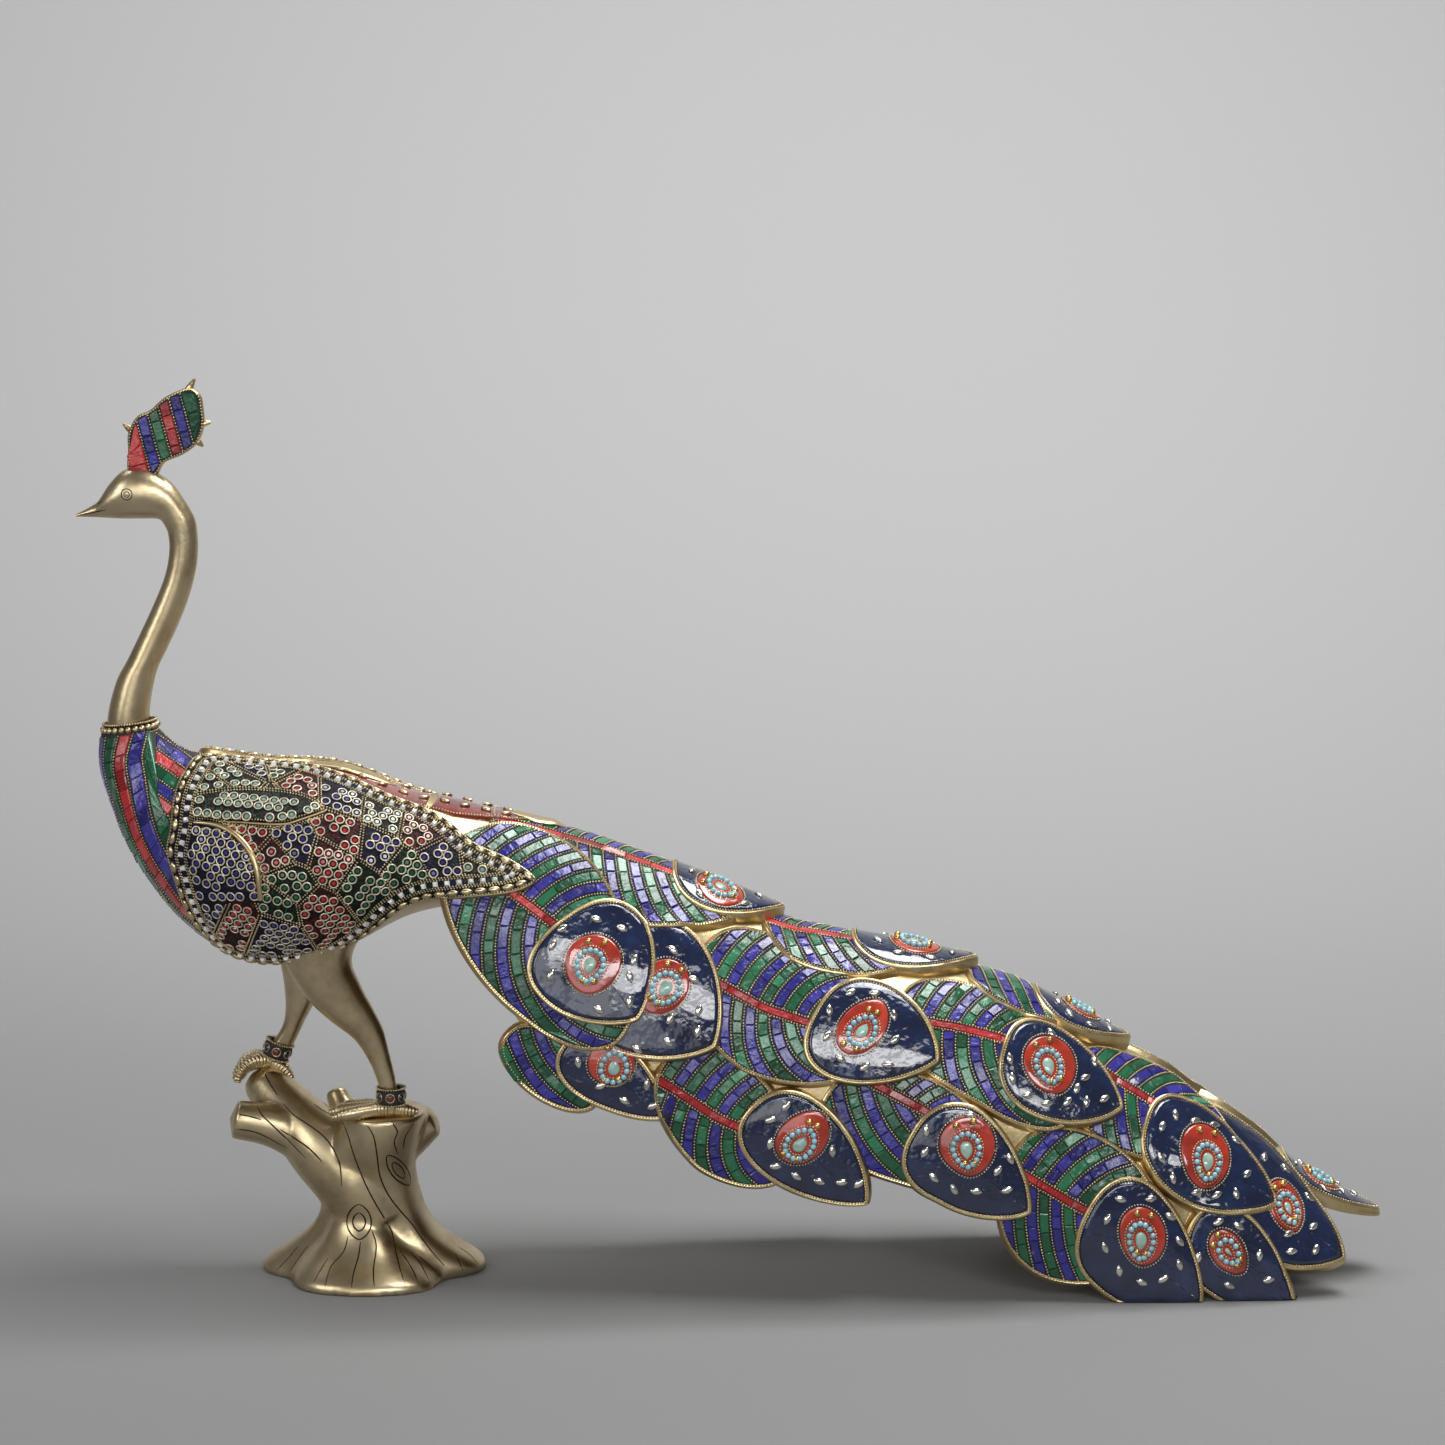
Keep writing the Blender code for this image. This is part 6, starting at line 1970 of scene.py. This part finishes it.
class PEACOCK_OT_breast(bpy.types.Operator):
    """Lays the upright stripes of the breast and the slanting ones behind them"""
    bl_idname = "peacock.breast"
    bl_label = "Breast"

    def execute(self, context):
        f = finishes()
        skin, wing = parts_of("body"), parts_of("wing")
        lots = {"blue": [], "green": [], "red": []}
        beads = []

        def inside(u, v):
            points = skin.at(u, np.abs(v))
            turn = np.degrees(np.arctan2(points[..., 2] - middle_height(points[..., 0]),
                                         -np.abs(points[..., 1])))
            clear = wing.depth(points[..., 0], turn) < 0.001
            sx, sz = seen(points * (1, -1, 1) if np.any(points[..., 1] > 0.001) else points)
            slanted = outline_depth(np.array(SLANT_REGION), sx, sz) > 0
            return clear & (u > 0.012) & (points[..., 0] < -0.112) & ~slanted

        def widened(s, t):
            return s, t * np.interp(s, (0.0, 0.10, 0.25, 0.40, 0.6), (1.12, 1.16, 1.42, 1.60, 1.60))

        rows = Rows(skin, widened, np.linspace(0, 0.6, 500), inside, 5)
        for k, colour in enumerate(BREAST_COLOURS):
            lots[colour] += rows.tiles(BREAST_LINES[k] + 0.0011, BREAST_LINES[k + 1] - 0.0011, 0.0006)
        for t in BREAST_LINES:
            beads.append(rows.edge(t, 0.0011))
        middle = rows.tiles(-0.0039, 0.0039, 0.0006)

        body = bare(wrapped(section_rings(body_rows(8), 72)), "probe")
        graph = context.evaluated_depsgraph_get()
        look = SeenSkin(BVHTree.FromObject(body, graph))
        bpy.data.objects.remove(body, do_unlink=True)
        region = np.array(SLANT_REGION)
        ahead = np.array([0.81, -0.586])
        across = np.array([-0.586, -0.81])
        corner = np.array([-0.166, 0.512])

        def place(s, t):
            return (corner[0] + s * ahead[0] + t * across[0], corner[1] + s * ahead[1] + t * across[1])

        slant = Rows(look, place, np.linspace(-0.05, 0.09, 160),
                     lambda u, v: (outline_depth(region, u, v) > 0.0004)
                     & ~np.isnan(look.at(u, v)[..., 0]), 9)
        for k, colour in enumerate(("green", "blue", "red", "green", "blue", "red", "green")):
            start = 0.004 + 0.0105 * k
            lots[colour] += slant.tiles(start + 0.0010, start + 0.0095, 0.0006, None, 0.0002,
                                        (0.012, 0.022))
            beads.append(slant.edge(start, 0.0011))
        ground = self.bed(skin)
        piece("breast_bed", [ground, mirrored(ground)], [f["grout"]], "peacock")
        for colour, name in (("blue", "breast_lapis"), ("green", "breast_malachite"),
                             ("red", "breast_coral")):
            parts = lots[colour] + [mirrored(p) for p in lots[colour]]
            if colour == "green":
                parts += middle
            piece(name, parts, [f[colour]], None, 25)
        lot = beads_at([b for b in beads if len(b)])
        piece("breast_wires", [lot, mirrored(lot)], [f["wire"]])
        return {"FINISHED"}

    @staticmethod
    def bed(skin):
        """A thin black bed over the near half of the breast."""
        us = np.linspace(0.0, 0.5, 60)
        half = np.linspace(-0.002, 0.165, 60)
        over, under = [], []
        for u in us:
            over.append(skin.at(np.full(60, u), half, 0.0006))
            under.append(skin.at(np.full(60, u), half, -0.0020))
        rings = np.concatenate([np.array(over), np.array(under)[:, ::-1]], axis=1)
        return wrapped(rings)


# Back, crest, collar and anklets

class PEACOCK_OT_back(bpy.types.Operator):
    """Fills the back between the wings: red enamel, almond studs and two brass leaves"""
    bl_idname = "peacock.back"
    bl_label = "Back"

    def execute(self, context):
        f = finishes()
        wing = parts_of("wing")
        skin = wing.skin
        xs = np.linspace(-0.055, 0.150, 70)
        half = np.interp(xs, (-0.055, -0.03, 0.02, 0.08, 0.13, 0.15), (4, 12, 22, 24, 14, 3))
        rings_over, rings_under = [], []
        for x, width in zip(xs, half):
            turn = np.linspace(90 - width, 90, 16)
            lower = skin.at(np.full(16, x), turn, -0.0035)
            rings_over.append(np.concatenate([lower, lower[::-1][1:] * (1, -1, 1)]))
            deep = skin.at(np.full(16, x), turn, -0.0090)
            rings_under.append(np.concatenate([deep, deep[::-1][1:] * (1, -1, 1)]))
        rings = np.concatenate([np.array(rings_over), np.array(rings_under)[:, ::-1]], axis=1)
        piece("back_enamel", [wrapped(rings)], [f["back red"]], None, 60)
        beads = [wire(skin, xs, 90 - half + 0.6, -0.0026)]
        lot = beads_at(beads)
        studs = [(x, 90 - w) for x in np.arange(-0.02, 0.13, 0.018)
                 for w in (np.interp(x, xs, half) * 0.45,)]
        u, v = np.array(studs).T
        almonds = set_on(almond(), skin, u, v, np.tile((0.5, -0.4), len(u))[:len(u)],
                         (0.0052, 0.0027, 0.0018), -0.0026)
        leaves = []
        for start, end, width in ((-0.052, 0.026, 0.0085), (0.122, 0.178, 0.0085)):
            line = np.linspace(start, end, 30)
            swell = width * np.sin(np.linspace(0.04, math.pi - 0.04, 30)) ** 0.8
            top = np.array([self.ridge(wing, x) for x in line])
            ring = []
            for x, z, w in zip(line, top, swell):
                angle = np.linspace(0, 2 * math.pi, 20, endpoint=False)
                ring.append(np.stack([np.full(20, x), w * 1.5 * np.cos(angle),
                                      z + 0.0005 + w * 0.42 * np.sin(angle)], 1))
            leaves.append(wrapped(ring))
        piece("back_leaves", leaves, [f["lip"]], None, 50)
        piece("back_studs", [almonds, mirrored(almonds), lot, mirrored(lot)], [f["wire"]])
        return {"FINISHED"}

    @staticmethod
    def ridge(wing, x):
        top = wing.skin.at(min(x, 0.165), 90.0)[2] - 0.004
        return float(top) if x < 0.165 else float(top) - (x - 0.165) * 0.43


CREST_OUTLINE = [(-0.2040, 0.7165), (-0.2035, 0.735), (-0.2030, 0.750), (-0.1950, 0.764),
                 (-0.1830, 0.770), (-0.1700, 0.781), (-0.1500, 0.789), (-0.1400, 0.783),
                 (-0.1375, 0.772), (-0.1370, 0.756), (-0.1430, 0.741), (-0.1560, 0.731),
                 (-0.1720, 0.724), (-0.1790, 0.7135), (-0.1925, 0.7125)]


class PEACOCK_OT_crest(bpy.types.Operator):
    """Makes the crest: a brass plume with slanting stripes of stone and four prongs"""
    bl_idname = "peacock.crest"
    bl_label = "Crest"

    def execute(self, context):
        f = finishes()
        edge = smooth_rows(CREST_OUTLINE, 5, closed=True)
        half = 0.0042
        rings = []
        heart = edge.mean(0)
        for y, by, share in ((-half, 0.0014, 0.5), (-half, 0.0014, 1.0), (-half * 0.55, 0.0, 1.0),
                             (half * 0.55, 0.0, 1.0), (half, 0.0014, 1.0), (half, 0.0014, 0.5)):
            line = heart + (inset(edge, by) - heart) * share
            rings.append(np.stack([line[:, 0], np.full(len(line), y), line[:, 1]], 1))
        plate = wrapped(rings)
        level = plate["level"][plate["faces"]]
        plate["finish"] = ((level.max(1) <= 2) | (level.min(1) >= 5)).astype(int)
        prongs = []
        for start, end in (((-0.198, 0.750), (-0.2075, 0.7575)), ((-0.152, 0.784), (-0.1445, 0.7965)),
                           ((-0.141, 0.758), (-0.1310, 0.7590)), ((-0.146, 0.745), (-0.1385, 0.7380))):
            line = [(start[0], 0, start[1], 0.0036), ((start[0] + end[0]) / 2, 0, (start[1] + end[1]) / 2,
                                                     0.0030), (end[0], 0, end[1], 0.0010)]
            prongs.append(tube(smooth_rows(line, 6), 14))
        piece("crest_casting", [plate] + prongs, [f["lip"], f["grout"]], "crest", 40)
        us, vs = np.arange(-0.215, -0.120, 0.002), np.arange(0.70, 0.80, 0.002)
        grid_x, grid_z = np.meshgrid(us, vs, indexing="ij")
        skin = Skin(us, vs, np.stack([grid_x, np.full(grid_x.shape, -half), grid_z], 2), 1.0)
        if skin.normal(-0.17, 0.75)[1] > 0:
            skin.normals *= -1
        lean = math.radians(14)
        ahead = np.array([math.sin(lean), -math.cos(lean)])
        across = np.array([math.cos(lean), math.sin(lean)])
        corner = np.array([-0.2235, 0.800])

        def place(s, t):
            return corner[0] + s * ahead[0] + t * across[0], corner[1] + s * ahead[1] + t * across[1]

        rows = Rows(skin, place, np.linspace(-0.03, 0.12, 400),
                    lambda u, v: outline_depth(edge, u, v) > 0.0030, 21)
        lots = {"blue": [], "green": [], "red": []}
        beads = []
        stops = (0.0004, 0.0178, 0.0285, 0.0392, 0.0499, 0.0606, 0.0740)
        for colour, start, end in zip(("red", "blue", "green", "red", "blue", "green"), stops, stops[1:]):
            lots[colour] += rows.tiles(start + 0.0010, end - 0.0010, 0.0, None, 0.0002)
            beads.append(rows.edge(start, 0.0006))
        line = inset(edge, 0.0018)
        beads.append(wire(skin, line[:, 0], line[:, 1], 0.0004, None, True))
        parts = []
        for k, colour in enumerate(("blue", "green", "red")):
            for part in lots[colour]:
                part["finish"] = np.full(len(part["faces"]), k)
                parts += [part, mirrored(part)]
        piece("crest_stones", parts, [f["blue"], f["green"], f["red"]], None, 25)
        lot = beads_at([b for b in beads if len(b)])
        piece("crest_wires", [lot, mirrored(lot)], [f["wire"]])
        return {"FINISHED"}


def turned(profile, sides):
    """A closed band turned about Z from a closed profile of (radius, height)."""
    shape = bmesh.new()
    verts = [shape.verts.new((r, 0, z)) for r, z in profile]
    for a, b in zip(verts, verts[1:] + verts[:1]):
        shape.edges.new((a, b))
    bmesh.ops.spin(shape, geom=shape.edges[:], cent=(0, 0, 0), axis=(0, 0, 1),
                   angle=2 * math.pi, steps=sides, use_merge=True)
    bmesh.ops.remove_doubles(shape, verts=shape.verts, dist=1e-6)
    corners, faces = arrays(shape)
    return {"corners": corners, "faces": faces}


def circle(radius, z, count, start=0.0):
    turn = np.linspace(0, 2 * math.pi, count, endpoint=False) + start
    return np.stack([radius * np.cos(turn), radius * np.sin(turn), np.full(count, z)], 1), turn


def carried(part, centre, axis):
    """A part made about Z laid across another axis."""
    spin = np.array(Vector((0, 0, 1)).rotation_difference(Vector(axis)).to_matrix())
    return dict(part, corners=part["corners"] @ spin.T + centre)


class PEACOCK_OT_collar(bpy.types.Operator):
    """Makes the collar: a row of round beads between two bead wires"""
    bl_idname = "peacock.collar"
    bl_label = "Collar"

    def execute(self, context):
        f = finishes()
        where = np.array((-0.2075, 0, 0.4915)), (-0.10, 0, 1.0)
        band = turned([(0.0190, -0.0052), (0.0226, -0.0052), (0.0230, 0), (0.0226, 0.0052),
                       (0.0190, 0.0052)], 64)
        piece("collar_band", [carried(band, *where)], [f["dark line"]], "neck_collar", 40)
        corners, faces = fine_ball()
        spots, _ = circle(0.0236, 0.0, 24, 0.07)
        parts = [carried(repeated((corners * 0.0031, faces), spots), *where)]
        small = ball()
        for z, radius in ((-0.0048, 0.0234), (0.0048, 0.0234)):
            spots, _ = circle(radius, z, 62)
            parts.append(carried(repeated((small[0] * 0.0012, small[1]), spots), *where))
        piece("collar_beads", parts, [f["wire"]], "neck_collar")
        return {"FINISHED"}


class PEACOCK_OT_anklets(bpy.types.Operator):
    """Makes both anklets: ring-set stones between two bead wires"""
    bl_idname = "peacock.anklets"
    bl_label = "Anklets"

    def execute(self, context):
        f = finishes()
        for name, centre, axis in (("anklet_near", (0.0205, -LEG_SPREAD, 0.1675), (0, 0, 1)),
                                   ("anklet_far", (-0.0875, LEG_SPREAD, 0.192), (0.38, 0, 1))):
            where = np.array(centre), axis
            band = turned([(0.0090, -0.0070), (0.0118, -0.0070), (0.0122, 0), (0.0118, 0.0070),
                           (0.0090, 0.0070)], 40)
            piece(f"{name}_band", [carried(band, *where)], [f["grout"]], name, 40)
            spots, turn = circle(0.0124, 0.0, 7, 0.25)
            out = np.stack([np.cos(turn), np.sin(turn), np.zeros(7)], 1)
            side = np.stack([-np.sin(turn), np.cos(turn), np.zeros(7)], 1)
            up = np.tile((0, 0, 1.0), (7, 1))
            hoops = repeated(hoop(0.0038, 0.0006, 20, 6), spots, side, up, out)
            parts = [carried(hoops, *where)]
            small = ball()
            for z in (-0.0072, 0.0072):
                line, _ = circle(0.0126, z, 34)
                parts.append(carried(repeated((small[0] * 0.0011, small[1]), line), *where))
            piece(f"{name}_wires", parts, [f["wire"]], name)
            dome = fine_ball()
            gems = []
            for k in range(7):
                gem = repeated((dome[0] * (0.0033, 0.0033, 0.0016), dome[1]), spots[k:k + 1],
                               side[k:k + 1], up[k:k + 1], out[k:k + 1])
                gem = carried(gem, *where)
                gem["finish"] = np.full(len(gem["faces"]), k % 2)
                gems.append(gem)
            piece(f"{name}_stones", gems, [f["onyx"], f["garnet"]], name)
        return {"FINISHED"}


# Studio

class PEACOCK_OT_studio(bpy.types.Operator):
    """Sets up the pale backdrop, painted darker towards the front as shade, the soft lights and the camera
    """
    bl_idname = "peacock.studio"
    bl_label = "Studio"

    def execute(self, context):
        scene = context.scene
        tone = tuple(scene.peacock_studio.tone)
        shape = bmesh.new()
        floor_end, bend, wall = 1.2, 1.4, 2.6
        profile = [(-4.0, 0.0), (floor_end, 0.0)]
        profile += [(floor_end + bend * math.sin(t), bend - bend * math.cos(t))
                    for t in np.linspace(0.1, math.pi / 2, 14)]
        profile.append((wall, 6.0))
        verts = [shape.verts.new((-6.0, y, z - 0.0004)) for y, z in profile]
        edges = [shape.edges.new(pair) for pair in zip(verts, verts[1:])]
        made = bmesh.ops.extrude_edge_only(shape, edges=edges)["geom"]
        bmesh.ops.translate(shape, vec=(12.0, 0, 0),
                            verts=[g for g in made if isinstance(g, bmesh.types.BMVert)])
        bmesh.ops.recalc_face_normals(shape, faces=shape.faces)
        mesh = bpy.data.meshes.new("backdrop")
        shape.to_mesh(mesh)
        shape.free()
        floor = bpy.data.objects.new("backdrop", mesh)
        scene.collection.objects.link(floor)
        mesh.shade_smooth()
        paper, nodes, links, shader = new_material("backdrop paper")
        # Painted shade: the paper darkens from the wall towards the camera, standing in for light that
        # falls off over the floor
        place = add(nodes, "ShaderNodeTexCoord").outputs["Object"]
        depth = add(nodes, "ShaderNodeSeparateXYZ")
        links.new(place, depth.inputs["Vector"])
        span = add(nodes, "ShaderNodeMapRange")
        span.inputs["From Min"].default_value = -1.0
        span.inputs["From Max"].default_value = wall
        links.new(depth.outputs["Y"], span.inputs["Value"])
        tint = ramp(nodes, [(0.0, scaled(tone, 0.44)), (0.40, scaled(tone, 0.52)), (1.0, tone)])
        links.new(span.outputs["Result"], tint.inputs["Fac"])
        links.new(tint.outputs["Color"], shader.inputs["Base Color"])
        shader.inputs["Roughness"].default_value = 0.75
        mesh.materials.append(paper)

        lamps = [("overhead", (0.75, 0.05, 2.5), (0.25, 0.0, 0.2), 1.7, 0.9, 54),
                 ("front", (0.8, -2.9, 1.75), (0.2, 0, 0.2), 1.6, 0.6, 27),
                 ("fill", (-0.9, -4.2, 1.4), (-0.2, 0, 0.3), 2.4, 2.0, 26),
                 ("left", (-2.2, -1.7, 1.5), (-0.2, 0, 0.4), 0.9, 1.5, 16),
                 ("back wall", (0.0, 0.9, 3.4), (0.0, wall, 1.6), 4.0, 1.0, 74)]
        for name, spot, aim, wide, high, power in lamps:
            lamp = bpy.data.lights.new(name, "AREA")
            lamp.shape = "RECTANGLE"
            lamp.size, lamp.size_y, lamp.energy = wide, high, power
            holder = bpy.data.objects.new(name, lamp)
            holder.location = spot
            holder.rotation_euler = (Vector(aim) - Vector(spot)).to_track_quat("-Z", "Y").to_euler()
            scene.collection.objects.link(holder)
        world = bpy.data.worlds.new("studio") if scene.world is None else scene.world
        scene.world = world
        world.use_nodes = True
        sky = world.node_tree.nodes["Background"]
        sky.inputs["Color"].default_value = (0.82, 0.82, 0.82, 1)
        sky.inputs["Strength"].default_value = 0.20
        scene.view_settings.view_transform = "Standard"
        lens = bpy.data.cameras.new("camera")
        lens.sensor_width = 36.0
        lens.angle = scene.peacock_studio.view_angle
        camera = bpy.data.objects.new("camera", lens)
        camera.location = EYE_POINT + Vector((STUMP_X, 0, 0))
        aim = Vector((camera.location.x, 0, 0.495))
        camera.rotation_euler = (aim - camera.location).to_track_quat("-Z", "Y").to_euler()
        scene.collection.objects.link(camera)
        scene.camera = camera
        return {"FINISHED"}


class PEACOCK_PT_panel(bpy.types.Panel):
    bl_label = "Inlaid brass peacock"
    bl_idname = "PEACOCK_PT_panel"
    bl_space_type = "VIEW_3D"
    bl_region_type = "UI"
    bl_category = "Peacock"

    def draw(self, context):
        for settings in (context.scene.peacock_inlay, context.scene.peacock_metal,
                         context.scene.peacock_studio):
            box = self.layout.box()
            for key in settings.__annotations__:
                box.prop(settings, key)
        for step in STEPS:
            self.layout.operator(step.bl_idname)


STEPS = (PEACOCK_OT_train_casting, PEACOCK_OT_train_inlay, PEACOCK_OT_train_eyes, PEACOCK_OT_body,
         PEACOCK_OT_neck, PEACOCK_OT_stump, PEACOCK_OT_wings, PEACOCK_OT_breast, PEACOCK_OT_back,
         PEACOCK_OT_crest, PEACOCK_OT_collar, PEACOCK_OT_anklets, PEACOCK_OT_studio)
CLASSES = (InlaySettings, MetalSettings, StudioSettings) + STEPS + (PEACOCK_PT_panel,)


def register():
    for entry in CLASSES:
        bpy.utils.register_class(entry)
    bpy.types.Scene.peacock_inlay = bpy.props.PointerProperty(type=InlaySettings)
    bpy.types.Scene.peacock_metal = bpy.props.PointerProperty(type=MetalSettings)
    bpy.types.Scene.peacock_studio = bpy.props.PointerProperty(type=StudioSettings)


def unregister():
    del bpy.types.Scene.peacock_inlay, bpy.types.Scene.peacock_metal, bpy.types.Scene.peacock_studio
    for entry in reversed(CLASSES):
        bpy.utils.unregister_class(entry)


def main():
    register()
    for step in STEPS:
        group, name = step.bl_idname.split(".")
        getattr(getattr(bpy.ops, group), name)()


if __name__ == "__main__":
    main()
